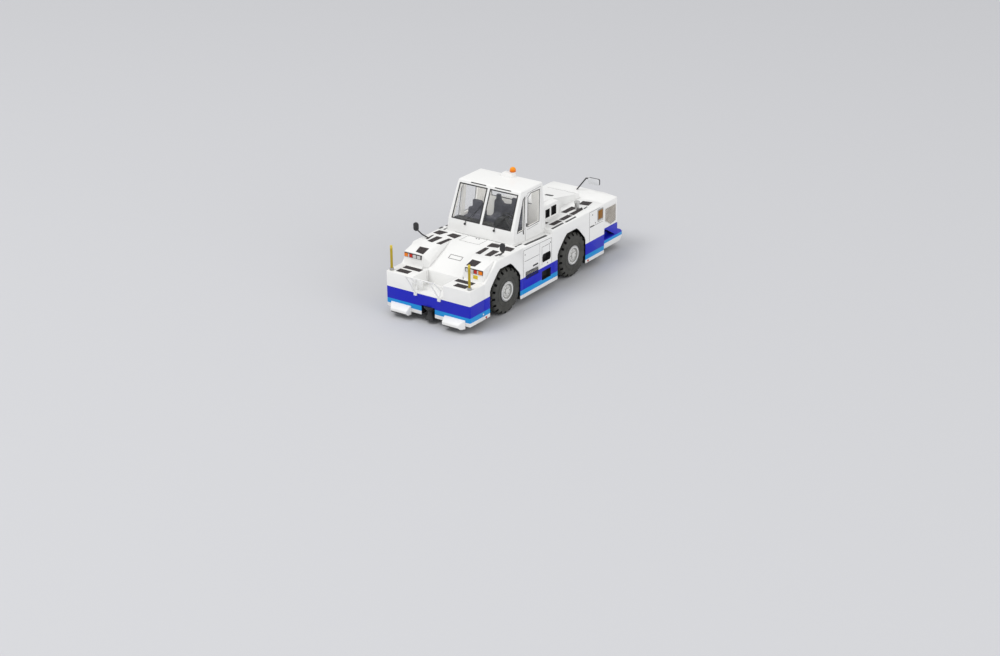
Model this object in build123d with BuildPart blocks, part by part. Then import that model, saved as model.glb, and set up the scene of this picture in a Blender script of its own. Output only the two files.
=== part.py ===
from build123d import *
import os

os.makedirs("parts", exist_ok=True)

# Scale model of a heavy airport tow tractor, in millimetres.
# X points to the tractor's left, Y rearwards, Z up, with the ground at zero.
# A station is a distance behind the front face of the bumper.

# Driving dimensions
body_width = 22.0
wheel_radius = 5.1
wheelbase = 25.75
front_overhang = 14.1
rear_overhang = 22.65
hoop_lean = 3.6
skirt_height = 1.72
arch_gap = 1.1
arch_side_gap = 0.55
arch_lead = 1.2
arch_lift = 2.3
arch_front_wall = 2.05
arch_rear_wall = 0.55
rear_arch_front_wall = 1.4
rear_arch_to_body = 13.45
box_setback = 0.5
cab_overhang = 0.7
tyre_clearance = 0.25
skin_thickness = 0.25
well_depth = 4.3
pod_inset = 2.3
frame_rise = 1.45
frame_drop = 2.5
deck_thickness = 2.2
deck_step = 0.25
cab_rise = 11.0
overrun = 1.0

# Places that follow from them
half_width = body_width / 2
axle_height = wheel_radius
arch_half_width = wheel_radius + arch_side_gap
arch_spring_height = axle_height + arch_lift
arch_top = axle_height + wheel_radius + arch_gap
deck_height = arch_top + deck_thickness
rear_deck_height = deck_height + deck_step
chassis_top = axle_height + frame_rise
chassis_bottom = axle_height - frame_drop
front_axle_station = front_overhang
rear_axle_station = front_axle_station + wheelbase
rear_end_station = rear_axle_station + rear_overhang
bumper_face_y = (hoop_lean - rear_end_station) / 2
front_arch_station = front_axle_station - arch_lead
rear_arch_station = rear_axle_station - arch_lead
bumper_depth = front_arch_station - arch_half_width - arch_front_wall
cab_front_station = front_arch_station + arch_half_width + arch_rear_wall
side_box_front_station = cab_front_station + box_setback
cab_rear_station = rear_arch_station - arch_half_width - rear_arch_front_wall
side_box_rear_station = cab_rear_station - cab_overhang
rear_body_station = rear_arch_station + rear_arch_to_body
well_inner_x = half_width - well_depth
trough_half_width = well_inner_x - pod_inset

# Corners of a wheel arch, from its foot to its crown, as shares of its half width and its rise
arch_corner_shares = [(1, 0), (0.93, 0.2), (0.5, 0.84), (0.34, 1)]
rod_sides = 6


def aft(station):
    """Y of a place that lies this far behind the bumper's face."""
    return bumper_face_y + station


def level(share):
    """Height at a share of the way from the chassis top to the deck."""
    return chassis_top + share * (deck_height - chassis_top)


def block(x_low, x_high, station_low, station_high, z_low, z_high, mode=Mode.ADD):
    """A rectangular block between six faces."""
    middle = ((x_low + x_high) / 2, aft((station_low + station_high) / 2), (z_low + z_high) / 2)
    with Locations(middle):
        Box(x_high - x_low, station_high - station_low, z_high - z_low, mode=mode)


def side_slab(outline, x_low, x_high, mode=Mode.ADD):
    """A side view outline, as (station, height) points, between two X values."""
    with BuildSketch(Plane.YZ.offset(x_low)) as profile:
        with BuildLine():
            Polyline(*[(aft(station), height) for station, height in outline], close=True)
        make_face()
    extrude(profile.sketch, amount=x_high - x_low, mode=mode)


def front_slab(outline, station_low, station_high, mode=Mode.ADD):
    """A front view outline, as (x, height) points, between two stations."""
    with BuildSketch(Plane.XZ.offset(-aft(station_low))) as profile:
        with BuildLine():
            Polyline(*outline, close=True)
        make_face()
    extrude(profile.sketch, amount=station_low - station_high, mode=mode)


def plan_slab(outline, z_low, z_high, mode=Mode.ADD):
    """A plan view outline, as (x, station) points, between two heights."""
    with BuildSketch(Plane.XY.offset(z_low)) as profile:
        with BuildLine():
            Polyline(*[(x, aft(station)) for x, station in outline], close=True)
        make_face()
    extrude(profile.sketch, amount=z_high - z_low, mode=mode)


def arch_cut(axle_station, x_low, x_high):
    """Removes a wheel arch with cut corners, and the tyre's room behind its outer skin."""
    middle = axle_station - arch_lead
    rise = arch_top - arch_spring_height
    rear_side = [(middle + arch_half_width, -overrun)]
    for across_share, up_share in arch_corner_shares:
        rear_side.append((middle + across_share * arch_half_width,
                          arch_spring_height + up_share * rise))
    front_side = [(2 * middle - station, height) for station, height in reversed(rear_side)]
    side_slab(rear_side + front_side, x_low, x_high, Mode.SUBTRACT)
    room_plane = Plane(origin=(x_low, aft(axle_station), axle_height), z_dir=(1, 0, 0))
    with BuildSketch(room_plane) as room:
        Circle(wheel_radius + tyre_clearance)
    extrude(room.sketch, amount=half_width - skin_thickness - x_low, mode=Mode.SUBTRACT)


def twin(part):
    """The same piece on the tractor's other side."""
    with BuildPart() as other:
        mirror(part, about=Plane.YZ)
    return other.part


def rod(points, radius):
    """A thin bar along straight runs, mitred at each corner."""
    path = Wire.make_polygon(points, close=False)
    with BuildSketch(Plane(origin=points[0], z_dir=points[1] - points[0])) as section:
        RegularPolygon(radius, rod_sides)
    sweep(section.sketch, path=path, transition=Transition.RIGHT)


def from_below(places):
    """Rod points from (x, station, height) places, with the first run begun below its foot."""
    points = [Vector(x, aft(station), height) for x, station, height in places]
    return [points[0] - (points[1] - points[0]).normalized() * overrun] + points[1:]


def round_slab(x, station, radius, z_low, z_high, mode=Mode.ADD):
    """An upright cylinder between two heights."""
    with Locations((x, aft(station), (z_low + z_high) / 2)):
        Cylinder(radius, z_high - z_low, mode=mode)


def keep(part, name):
    """Labels a finished piece and writes it."""
    part.label = name
    export_step(part, "parts/" + name + ".step")


# Chassis: a plain backbone between the wheels, with a pedestal under the cab
frame_clearance = 0.1
chassis_half_width = well_inner_x - frame_clearance
axle_radius = 0.6
running_clearance = 0.05
chassis_outline = [
    (bumper_depth, chassis_bottom),
    (rear_body_station, chassis_bottom),
    (rear_body_station, chassis_top),
    (cab_rear_station, chassis_top),
    (cab_rear_station, deck_height),
    (cab_front_station, deck_height),
    (cab_front_station, chassis_top),
    (bumper_depth, chassis_top),
]
with BuildPart() as chassis:
    side_slab(chassis_outline, -chassis_half_width, chassis_half_width)
    for bore_station in (front_axle_station, rear_axle_station):
        bore_plane = Plane(origin=(0, aft(bore_station), axle_height), z_dir=(1, 0, 0))
        with Locations(bore_plane):
            Cylinder(axle_radius + running_clearance, body_width, mode=Mode.SUBTRACT)
keep(chassis.part, "chassis")

# Front bumper: one block with a recess in the middle and a notch for the coupling
bumper_top_share = 0.456
recess_inset = 0.35
bumper_top = level(bumper_top_share)
recess_half_width = trough_half_width - recess_inset
coupling_notch_half_width = 1.75
coupling_notch_back = 1.8
coupling_notch_depth = bumper_depth - coupling_notch_back
coupling_notch_top = 3.9
bumper_corner_radius = 0.3
bumper_edge_radius = 0.15

with BuildPart() as front_bumper:
    block(-half_width, half_width, 0, bumper_depth, skirt_height, bumper_top)
    front_corners = front_bumper.edges().filter_by(Axis.Z).group_by(Axis.Y)[0]
    fillet(front_corners, bumper_corner_radius)
    block(-recess_half_width, recess_half_width, -overrun, bumper_depth + overrun,
          chassis_top, bumper_top + overrun, Mode.SUBTRACT)
    block(-coupling_notch_half_width, coupling_notch_half_width, -overrun, coupling_notch_depth,
          skirt_height - overrun, coupling_notch_top, Mode.SUBTRACT)
    fillet(front_bumper.faces().sort_by(Axis.Z)[-1].edges(), bumper_edge_radius)
keep(front_bumper.part, "front_bumper")

# Bumper shoes: two wedges under the bumper's front edge
shoe_inner_x = trough_half_width
shoe_inset = 1.2
shoe_outer_x = half_width - shoe_inset
shoe_reach = 1.5
shoe_low = 1.05
shoe_high = 3.1
shoe_nose_low = 1.55
shoe_nose_high = 2.15
shoe_brow = 2.95
shoe_inner_taper = 0.3
shoe_outer_taper = 0.9
shoe_outline = [
    (0, shoe_low),
    (0, shoe_high),
    (-shoe_reach / 3, shoe_brow),
    (-shoe_reach, shoe_nose_high),
    (-shoe_reach, shoe_nose_low),
    (-shoe_reach * 2 / 3, shoe_low),
]
shoe_plan = [
    (shoe_inner_x, 0),
    (shoe_inner_x + shoe_inner_taper, -shoe_reach),
    (shoe_outer_x - shoe_outer_taper, -shoe_reach),
    (shoe_outer_x, 0),
]
with BuildPart() as bumper_shoes:
    side_slab(shoe_outline, shoe_inner_x, shoe_outer_x)
    plan_slab(shoe_plan, 0, bumper_top, Mode.INTERSECT)
    mirror(about=Plane.YZ)
keep(bumper_shoes.part, "bumper_shoes")

# Front coupling: an hour-glass jaw on a vertical pin bore, under the bumper's middle
coupling_station = 1.0
coupling_top_radius = 1.5
coupling_waist_radius = 0.75
coupling_foot_radius = 1.3
coupling_flange = 0.35
coupling_bottom = 0.95
coupling_height = coupling_notch_top - coupling_bottom
coupling_bore_radius = 0.3
waist_low_share = 0.38
waist_high_share = 0.58


def coupling_jaw(station, top_radius, waist_radius, foot_radius, bottom, height, back_depth):
    """An hour-glass spool with a vertical bore, and a block that joins it to the frame behind."""
    top = bottom + height
    spool_outline = [
        (0, bottom),
        (foot_radius, bottom),
        (waist_radius, bottom + height * waist_low_share),
        (waist_radius, bottom + height * waist_high_share),
        (top_radius, top - coupling_flange),
        (top_radius, top),
        (0, top),
    ]
    with BuildSketch(Plane.XZ.offset(-aft(station))) as profile:
        with BuildLine():
            Polyline(*spool_outline, close=True)
        make_face()
    revolve(profile.sketch, axis=Axis((0, aft(station), 0), (0, 0, 1)))
    low_station, high_station = sorted((station, station + back_depth))
    block(-waist_radius, waist_radius, low_station, high_station, bottom + coupling_flange, top)
    round_slab(0, station, coupling_bore_radius, bottom - overrun, top + overrun, Mode.SUBTRACT)


with BuildPart() as front_coupling:
    coupling_jaw(coupling_station, coupling_top_radius, coupling_waist_radius,
                 coupling_foot_radius, coupling_bottom, coupling_height,
                 coupling_notch_depth - coupling_station)
keep(front_coupling.part, "front_coupling")

# Hoop guard: a thin white hoop that leans forward over the recess, braced on each side,
# on two small feet against the bumper's face
hoop_inset = 0.95
hoop_rise = 1.73
hoop_half_width = recess_half_width - hoop_inset
hoop_wire_radius = 0.15
hoop_top = bumper_top + hoop_rise
foot_half_width = 0.35
foot_depth = 0.35
foot_drop = 0.65
rail_height = hoop_top - hoop_wire_radius
rail_station = -hoop_lean + hoop_wire_radius
foot_station = -foot_depth / 2
brace_bend_station = 0.5
brace_bend_rise = 1.6
brace_head_share = 0.5
brace_head_rise_share = 0.62
brace_head_lift = 0.9
brace_bend_height = chassis_top + brace_bend_rise
brace_head_station = rail_station * brace_head_share
brace_head_height = (chassis_top + (rail_height - chassis_top) * brace_head_rise_share
                     + brace_head_lift)

hoop_leg = [
    (hoop_half_width, foot_station, chassis_top),
    (hoop_half_width, rail_station, rail_height),
    (0, rail_station, rail_height),
]
brace_run = [
    (hoop_half_width, foot_station, chassis_top),
    (hoop_half_width, brace_bend_station, brace_bend_height),
    (hoop_half_width, brace_head_station, brace_head_height),
    (hoop_half_width, rail_station, rail_height),
]
with BuildPart() as hoop_guard:
    rod(from_below(hoop_leg), hoop_wire_radius)
    rod(from_below(brace_run), hoop_wire_radius)
    split(bisect_by=Plane.XY.offset(chassis_top), keep=Keep.TOP)
    block(hoop_half_width - foot_half_width, hoop_half_width + foot_half_width,
          -foot_depth, 0, chassis_top - foot_drop, chassis_top)
    mirror(about=Plane.YZ)
keep(hoop_guard.part, "hoop_guard")

# Recess plate: a small upright plate on the recess floor, beside its right wall
plate_station = 1.3
plate_thickness = 0.4
plate_width = 1.6
plate_height = 2.2
plate_corner = 0.4
with BuildPart() as recess_plate:
    block(-recess_half_width, plate_width - recess_half_width,
          plate_station, plate_station + plate_thickness, chassis_top, chassis_top + plate_height)
    fillet(recess_plate.edges().filter_by(Axis.Y).group_by(Axis.Z)[-1], plate_corner)
keep(recess_plate.part, "recess_plate")

# Front deck: the trough between the two front wings, from the recess up to the cab
trough_foot_setback = 0.4
trough_step_setback = 0.75
trough_step_share = 0.417
trough_slope_end = 9.3
front_deck_outline = [
    (bumper_depth + trough_foot_setback, chassis_top),
    (bumper_depth + trough_step_setback, level(trough_step_share)),
    (bumper_depth + trough_slope_end, deck_height),
    (cab_front_station, deck_height),
    (cab_front_station, chassis_top),
]
with BuildPart() as front_deck:
    side_slab(front_deck_outline, -trough_half_width, trough_half_width)
keep(front_deck.part, "front_deck")

# Front wings: wheel arch, light pod and deck edge, one on each side
slope_foot_setback = 0.25
slope_foot_rise = 0.03
slope_top_setback = 4.7
edge_bevel = 0.22
pod_edge = 0.6
pod_corner_width = 1.1
pod_corner_setback = 1.4
pod_brow_setback = 0.6
pod_brow_share = 0.856
pod_back_setback = 4.4
facet_drop = 1.7
facet_back_setback = 5.3
facet_back_drop = 0.6
slope_foot_station = bumper_depth + slope_foot_setback
slope_foot_height = bumper_top + slope_foot_rise
slope_top_station = bumper_depth + slope_top_setback
pod_outer_x = half_width - pod_edge
pod_corner_x = trough_half_width + pod_corner_width
pod_corner_station = bumper_depth + pod_corner_setback
pod_brow_station = bumper_depth + pod_brow_setback
pod_brow_height = level(pod_brow_share)
pod_back_station = bumper_depth + pod_back_setback
facet_low = (trough_half_width, pod_corner_station, pod_brow_height - facet_drop)
facet_back = (trough_half_width, bumper_depth + facet_back_setback,
              deck_height - facet_back_drop)
facet_top = (pod_corner_x, pod_brow_station, pod_brow_height)
lamp_bar_inner_inset = 0.25
lamp_bar_outer_inset = 0.1
lamp_bar_drop = 0.2
lamp_bar_tall = 0.9
lamp_bar_setback = 0.42
lamp_bar_thickness = 0.48
lamp_bar_inner_x = pod_corner_x + lamp_bar_inner_inset
lamp_bar_outer_x = pod_outer_x - lamp_bar_outer_inset
lamp_bar_high = pod_brow_height - lamp_bar_drop
lamp_bar_low = lamp_bar_high - lamp_bar_tall
lamp_bar_front_station = bumper_depth + lamp_bar_setback
lamp_bar_back_station = lamp_bar_front_station + lamp_bar_thickness

wing_edge_outline = [
    (bumper_depth, skirt_height),
    (side_box_front_station, skirt_height),
    (side_box_front_station, deck_height),
    (slope_top_station, deck_height),
    (slope_foot_station, slope_foot_height),
    (bumper_depth, slope_foot_height),
]
pod_outline = [
    (bumper_depth, chassis_top),
    (cab_front_station, chassis_top),
    (cab_front_station, deck_height),
    (pod_back_station, deck_height),
    (pod_brow_station, pod_brow_height),
    (slope_foot_station, slope_foot_height),
    (bumper_depth, slope_foot_height),
]
pod_plan = [
    (trough_half_width, pod_corner_station),
    (pod_corner_x, pod_brow_station),
    (pod_corner_x, bumper_depth),
    (pod_outer_x, bumper_depth),
    (pod_outer_x, cab_front_station),
    (trough_half_width, cab_front_station),
]


def along(start, end):
    """The step from one (x, station, height) place to another, as a vector."""
    return Vector(end[0] - start[0], end[1] - start[1], end[2] - start[2])


with BuildPart() as pod_block:
    side_slab(pod_outline, trough_half_width, pod_outer_x)
    plan_slab(pod_plan, chassis_top, deck_height, Mode.INTERSECT)
    facet_normal = along(facet_low, facet_back).cross(along(facet_low, facet_top))
    facet_point = (facet_low[0], aft(facet_low[1]), facet_low[2])
    split(bisect_by=Plane(origin=facet_point, z_dir=facet_normal), keep=Keep.TOP)

with BuildPart() as wing_front_left:
    side_slab(wing_edge_outline, well_inner_x, half_width)
    outer_top = wing_front_left.edges().filter_by(Axis.Y).group_by(Axis.Z)[-1].sort_by(Axis.X)[-1]
    chamfer(outer_top, edge_bevel)
    block(well_inner_x - overrun, pod_outer_x, bumper_depth, slope_top_station + overrun,
          slope_foot_height, deck_height + overrun, Mode.SUBTRACT)
    add(pod_block.part)
    block(lamp_bar_inner_x, lamp_bar_outer_x, bumper_depth - overrun, lamp_bar_back_station,
          lamp_bar_low, lamp_bar_high, Mode.SUBTRACT)
    arch_cut(front_axle_station, well_inner_x, half_width + overrun)
keep(wing_front_left.part, "wing_front_left")
keep(twin(wing_front_left.part), "wing_front_right")

# Side boxes: the lockers below the cab, with two foot holes and a louvred vent on each side
side_box_fall = 0.55
side_box_rear_top = deck_height - side_box_fall
box_length = side_box_rear_station - cab_front_station
box_height = side_box_rear_top - skirt_height
hole_depth = 1.2
vent_depth = 0.35
slat_count = 5
slat_thickness = 0.14
rib_thickness = 0.12


def box_places(shares):
    """(station, height) places from shares of the side box's length and height."""
    return [(cab_front_station + along_share * box_length, skirt_height + up_share * box_height)
            for along_share, up_share in shares]


step_shares = [(0.655, 0.150), (0.950, 0.150), (0.950, 0.337), (0.655, 0.337)]
hand_shares = [(0.690, 0.515), (0.925, 0.515), (0.950, 0.56), (0.950, 0.63), (0.925, 0.685),
               (0.690, 0.685), (0.669, 0.63), (0.669, 0.56)]
vent_shares = [(0.119, 0.354), (0.542, 0.354), (0.542, 0.506), (0.119, 0.506)]
side_box_outline = [
    (side_box_front_station, skirt_height),
    (side_box_rear_station, skirt_height),
    (side_box_rear_station, side_box_rear_top),
    (side_box_front_station, deck_height),
]
with BuildPart() as side_box_left:
    side_slab(side_box_outline, well_inner_x, half_width)
    top_face = side_box_left.faces().sort_by(Axis.Z)[-1]
    chamfer(top_face.edges().sort_by(Axis.X)[-1], edge_bevel)
    for hole_shares in (step_shares, hand_shares):
        side_slab(box_places(hole_shares), half_width - hole_depth, half_width + overrun,
                  Mode.SUBTRACT)
    side_slab(box_places(vent_shares), half_width - vent_depth, half_width + overrun,
              Mode.SUBTRACT)
    (vent_front, vent_low), (vent_rear, vent_high) = box_places([vent_shares[0], vent_shares[2]])
    for slat in range(1, slat_count + 1):
        slat_height = vent_low + (vent_high - vent_low) * slat / (slat_count + 1)
        block(half_width - vent_depth, half_width - vent_depth + rib_thickness * 2,
              vent_front, vent_rear, slat_height - slat_thickness / 2,
              slat_height + slat_thickness / 2)
keep(side_box_left.part, "side_box_left")
keep(twin(side_box_left.part), "side_box_right")

# Rear wings: wheel arch and deck edge behind the cab, with a lamp window at the rear
window_depth = 0.4
window_length = 2.3
window_to_body = 0.5
window_low_share = 0.5
window_high_share = 0.93
window_rear_station = rear_body_station - window_to_body
window_front_station = window_rear_station - window_length
window_low = level(window_low_share)
window_high = level(window_high_share)
with BuildPart() as wing_rear_left:
    block(well_inner_x, half_width, side_box_rear_station, rear_body_station,
          skirt_height, rear_deck_height)
    outer_top = wing_rear_left.edges().filter_by(Axis.Y).group_by(Axis.Z)[-1].sort_by(Axis.X)[-1]
    chamfer(outer_top, edge_bevel)
    arch_cut(rear_axle_station, well_inner_x - overrun, half_width + overrun)
    block(half_width - window_depth, half_width + overrun, window_front_station,
          window_rear_station, window_low, window_high, Mode.SUBTRACT)
keep(wing_rear_left.part, "wing_rear_left")
keep(twin(wing_rear_left.part), "wing_rear_right")

# Rear deck between the rear wings
with BuildPart() as rear_deck:
    block(-well_inner_x, well_inner_x, cab_rear_station, rear_body_station,
          chassis_top, rear_deck_height)
keep(rear_deck.part, "rear_deck")

# Engine hood: a wedge that falls to the rear, with a slot on top
hood_inset = 0.25
hood_gap = 0.6
hood_front_rise = 4.75
hood_rear_rise = 1.05
hood_half_width = trough_half_width - hood_inset
hood_front_station = cab_rear_station + hood_gap
hood_front_top = rear_deck_height + hood_front_rise
hood_rear_top = rear_deck_height + hood_rear_rise
hood_edge_radius = 0.2
hood_outline = [
    (hood_front_station, rear_deck_height),
    (hood_front_station, hood_front_top),
    (rear_body_station, hood_rear_top),
    (rear_body_station, rear_deck_height),
]
with BuildPart() as engine_hood:
    side_slab(hood_outline, -hood_half_width, hood_half_width)
    fillet(engine_hood.faces().sort_by(Axis.Z)[-1].edges(), hood_edge_radius)
keep(engine_hood.part, "engine_hood")

# Air intake: a box beside the hood with two open mouths
intake_width = 1.85
intake_setback = 0.8
intake_length = 8.5
intake_tall = 3.25
intake_outer_x = hood_half_width + intake_width
intake_front_station = hood_front_station + intake_setback
intake_top = rear_deck_height + intake_tall
intake_corner = 0.9
mouth_depth = 0.8
mouth_sill = 0.35
mouth_foot = rear_deck_height + mouth_sill
# Mouth columns: front and rear as shares of the box's length, and height
mouths = [
    (0.306, 0.506, 1.9),
    (0.576, 0.812, 2.1),
]
with BuildPart() as air_intake:
    block(hood_half_width, intake_outer_x, intake_front_station,
          intake_front_station + intake_length, rear_deck_height, intake_top)
    rear_top = air_intake.edges().filter_by(Axis.X).group_by(Axis.Z)[-1].sort_by(Axis.Y)[-1]
    chamfer(rear_top, intake_corner)
    for mouth_front_share, mouth_rear_share, mouth_height in mouths:
        block(intake_outer_x - mouth_depth, intake_outer_x + overrun,
              intake_front_station + mouth_front_share * intake_length,
              intake_front_station + mouth_rear_share * intake_length,
              mouth_foot, mouth_foot + mouth_height, Mode.SUBTRACT)
keep(air_intake.part, "air_intake")

# Rear body: narrower than the wings, with sloping top edges and a grille on each side
rear_inset = 1.8
rear_shoulder_width = 2.3
rear_floor_drop = 0.21
rear_shoulder_drop = 1.25
rear_half_width = half_width - rear_inset
rear_top_half_width = rear_half_width - rear_shoulder_width
rear_floor = chassis_top - rear_floor_drop
rear_shoulder_height = rear_deck_height - rear_shoulder_drop
rear_length = rear_end_station - rear_body_station
grille_depth = 0.35
grille_thickness = 0.25


def rear_at(share):
    """Station at a share of the way from the rear wings to the tail."""
    return rear_body_station + share * rear_length


def grille_place(station_share, height_share):
    """(station, height) on the rear body's side, from shares of its length and height."""
    return rear_at(station_share), rear_floor + height_share * (rear_shoulder_height - rear_floor)


body_end_share = 0.798
top_end_share = 0.606
rear_body_end_station = rear_at(body_end_share)
rear_top_end_station = rear_at(top_end_share)
grille_shares = [(0.298, 0.294), (0.538, 0.042), (0.745, 0.099), (0.745, 0.781), (0.298, 0.781)]
grille_outline = [grille_place(*place_shares) for place_shares in grille_shares]
rear_section = [
    (-rear_half_width, rear_floor),
    (-rear_half_width, rear_shoulder_height),
    (-rear_top_half_width, rear_deck_height),
    (rear_top_half_width, rear_deck_height),
    (rear_half_width, rear_shoulder_height),
    (rear_half_width, rear_floor),
]
rear_side = [
    (rear_body_station, rear_floor),
    (rear_body_station, rear_deck_height),
    (rear_top_end_station, rear_deck_height),
    (rear_body_end_station, rear_shoulder_height),
    (rear_body_end_station, rear_floor),
]
with BuildPart() as rear_body:
    front_slab(rear_section, rear_body_station, rear_body_end_station)
    side_slab(rear_side, -rear_half_width, rear_half_width, Mode.INTERSECT)
    side_slab(grille_outline, rear_half_width - grille_depth, rear_half_width + overrun,
              Mode.SUBTRACT)
    side_slab(grille_outline, -rear_half_width - overrun, grille_depth - rear_half_width,
              Mode.SUBTRACT)
keep(rear_body.part, "rear_body")

with BuildPart() as rear_grilles:
    grille_inner_x = rear_half_width - grille_depth
    side_slab(grille_outline, grille_inner_x, grille_inner_x + grille_thickness)
    mirror(about=Plane.YZ)
keep(rear_grilles.part, "rear_grilles")

# Rear bumper: a sloping step below the rear body, with a pocket on each side
rear_bumper_ledge = 0.1
rear_bumper_drop = 0.22
rear_bumper_half_width = rear_half_width + rear_bumper_ledge
rear_bumper_bottom = skirt_height - rear_bumper_drop
pocket_depth = 1.6
rear_notch_half_width = 1.7
rear_notch_share = 0.721
rear_notch_station = rear_at(rear_notch_share)
rear_jaw_radius = 1.15
rear_jaw_waist_radius = 0.6
rear_coupling_station = rear_end_station - rear_jaw_radius
rear_coupling_bottom = 1.1


def step_place(station_share, height_share):
    """(station, height) on the rear bumper's side, from shares of its length and height."""
    return (rear_at(station_share),
            rear_bumper_bottom + height_share * (rear_floor - rear_bumper_bottom))


pocket_shares = [(0.077, 0.455), (0.702, 0.455), (0.337, 0.930), (0.077, 0.930)]
nose_share = 0.434
rear_bumper_shares = [(0, 0), (0, 1), (body_end_share, 1), (body_end_share, 0.692), (0.933, 0.568),
                      (1, nose_share), (1, 0.207), (0.913, 0)]
pocket_outline = [step_place(*place_shares) for place_shares in pocket_shares]
rear_bumper_outline = [step_place(*place_shares) for place_shares in rear_bumper_shares]
rear_notch_top = step_place(1, nose_share)[1]
with BuildPart() as rear_bumper:
    side_slab(rear_bumper_outline, -rear_bumper_half_width, rear_bumper_half_width)
    side_slab(pocket_outline, rear_bumper_half_width - pocket_depth,
              rear_bumper_half_width + overrun, Mode.SUBTRACT)
    side_slab(pocket_outline, -rear_bumper_half_width - overrun,
              pocket_depth - rear_bumper_half_width, Mode.SUBTRACT)
    block(-rear_notch_half_width, rear_notch_half_width, rear_notch_station,
          rear_end_station + overrun, rear_bumper_bottom - overrun, rear_notch_top, Mode.SUBTRACT)
keep(rear_bumper.part, "rear_bumper")

with BuildPart() as rear_coupling:
    coupling_jaw(rear_coupling_station, rear_jaw_radius, rear_jaw_waist_radius,
                 rear_jaw_radius, rear_coupling_bottom, rear_notch_top - rear_coupling_bottom,
                 rear_notch_station - rear_coupling_station)
keep(rear_coupling.part, "rear_coupling")

# Marker poles in their sockets, on the bumper's front corners
pole_inset = 0.8
pole_x = half_width - pole_inset
pole_station = 1.0
pole_radius = 0.28
pole_rise = 5.6
socket_radius = 0.48
socket_height = 0.5
socket_top = bumper_top + socket_height

with BuildPart() as pole_sockets:
    round_slab(pole_x, pole_station, socket_radius, bumper_top, socket_top)
    mirror(about=Plane.YZ)
keep(pole_sockets.part, "pole_sockets")

with BuildPart() as marker_poles:
    round_slab(pole_x, pole_station, pole_radius, socket_top, bumper_top + pole_rise)
    mirror(about=Plane.YZ)
keep(marker_poles.part, "marker_poles")

# Lamp bars: a dark bar across the face of each light pod, with lenses standing on it
lens_thickness = 0.14
lens_front_station = lamp_bar_front_station - lens_thickness
lens_margin = 0.1
lamp_bar_length = lamp_bar_outer_x - lamp_bar_inner_x
# Lens columns: piece, then inner and outer ends as shares of the bar's length
lens_shares = [
    ("amber_lenses", [(0.78, 0.98)]),
    ("red_lenses", [(0.527, 0.681)]),
    ("clear_lenses", [(0.697, 0.763), (0.297, 0.484), (0.055, 0.242)]),
]
with BuildPart() as lamp_bars:
    block(lamp_bar_inner_x, lamp_bar_outer_x, lamp_bar_front_station, lamp_bar_back_station,
          lamp_bar_low, lamp_bar_high)
    mirror(about=Plane.YZ)
keep(lamp_bars.part, "lamp_bars")

for lens_name, lens_spans in lens_shares:
    with BuildPart() as lenses:
        for inner_share, outer_share in lens_spans:
            block(lamp_bar_inner_x + inner_share * lamp_bar_length,
                  lamp_bar_inner_x + outer_share * lamp_bar_length,
                  lens_front_station, lamp_bar_front_station,
                  lamp_bar_low + lens_margin, lamp_bar_high - lens_margin)
        mirror(about=Plane.YZ)
    keep(lenses.part, lens_name)

# Cab: walls that lean inwards, with a raked windscreen in two panes
cab_wall = 0.5
cab_inset = 2.2
cab_side_lean = 0.55
cab_rear_lean = 0.5
roof_thickness = 0.5
cab_half_base = half_width - cab_inset
cab_half_top = cab_half_base - cab_side_lean
cab_roof_top = deck_height + cab_rise
cab_wall_top = cab_roof_top - roof_thickness
cab_rear_top_station = cab_rear_station - cab_rear_lean
roof_edge = 0.25
glass_depth = 0.12
glass_thickness = 0.22


def cab_at(share):
    """Station at a share of the cab's length."""
    return cab_front_station + share * (cab_rear_station - cab_front_station)


def cab_level(share):
    """Height at a share of the cab walls' height above the deck."""
    return deck_height + share * (cab_wall_top - deck_height)


def cab_places(shares):
    """(station, height) places on the cab's side, from shares of its length and height."""
    return [(cab_at(station_share), cab_level(height_share))
            for station_share, height_share in shares]


sill_share = 0.026
sill_height_share = 0.272
header_share = 0.292
sill_station = cab_at(sill_share)
sill_height = cab_level(sill_height_share)
header_station = cab_at(header_share)
cab_section = [
    (-cab_half_base, deck_height),
    (-cab_half_top, cab_wall_top),
    (cab_half_top, cab_wall_top),
    (cab_half_base, deck_height),
]


def wall_side_section(depth, thickness):
    """Front view section of the left wall, or of glass at some depth in it."""
    return [
        (cab_half_base - depth, deck_height - overrun),
        (cab_half_top - depth, cab_wall_top),
        (cab_half_top - depth - thickness, cab_wall_top),
        (cab_half_base - depth - thickness, deck_height - overrun),
    ]


def leaning_wall(outer_edge, depth, thickness):
    """Side view outline of a wall that stands on an outer edge, or of glass in it."""
    outside = [(station + depth, height) for station, height in outer_edge]
    inside = [(station + thickness, height) for station, height in reversed(outside)]
    return outside + inside


front_edge = [
    (cab_front_station, deck_height),
    (sill_station, sill_height),
    (header_station, cab_wall_top),
]
rear_edge = [
    (cab_rear_station, rear_deck_height),
    (cab_rear_top_station, cab_wall_top),
]
pane_inner_x = 0.33
pane_foot_margin = 0.4
pane_head_margin = 0.55
pane_low_share = 0.281
pane_high_share = 0.976
pane_outline = [
    (pane_inner_x, cab_level(pane_low_share)),
    (cab_half_top - pane_foot_margin, cab_level(pane_low_share)),
    (cab_half_top - pane_head_margin, cab_level(pane_high_share)),
    (pane_inner_x, cab_level(pane_high_share)),
]
other_pane_outline = [(-x, height) for x, height in pane_outline]
rear_window_half_width = cab_half_top * 2 / 3
rear_window_low_share = 0.486
rear_window_high_share = 0.895
rear_window_outline = [
    (-rear_window_half_width, cab_level(rear_window_low_share)),
    (rear_window_half_width, cab_level(rear_window_low_share)),
    (rear_window_half_width, cab_level(rear_window_high_share)),
    (-rear_window_half_width, cab_level(rear_window_high_share)),
]
quarter_window_shares = [(0.128, 0.210), (0.337, 0.215), (0.415, 0.915), (0.350, 0.860)]
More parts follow.
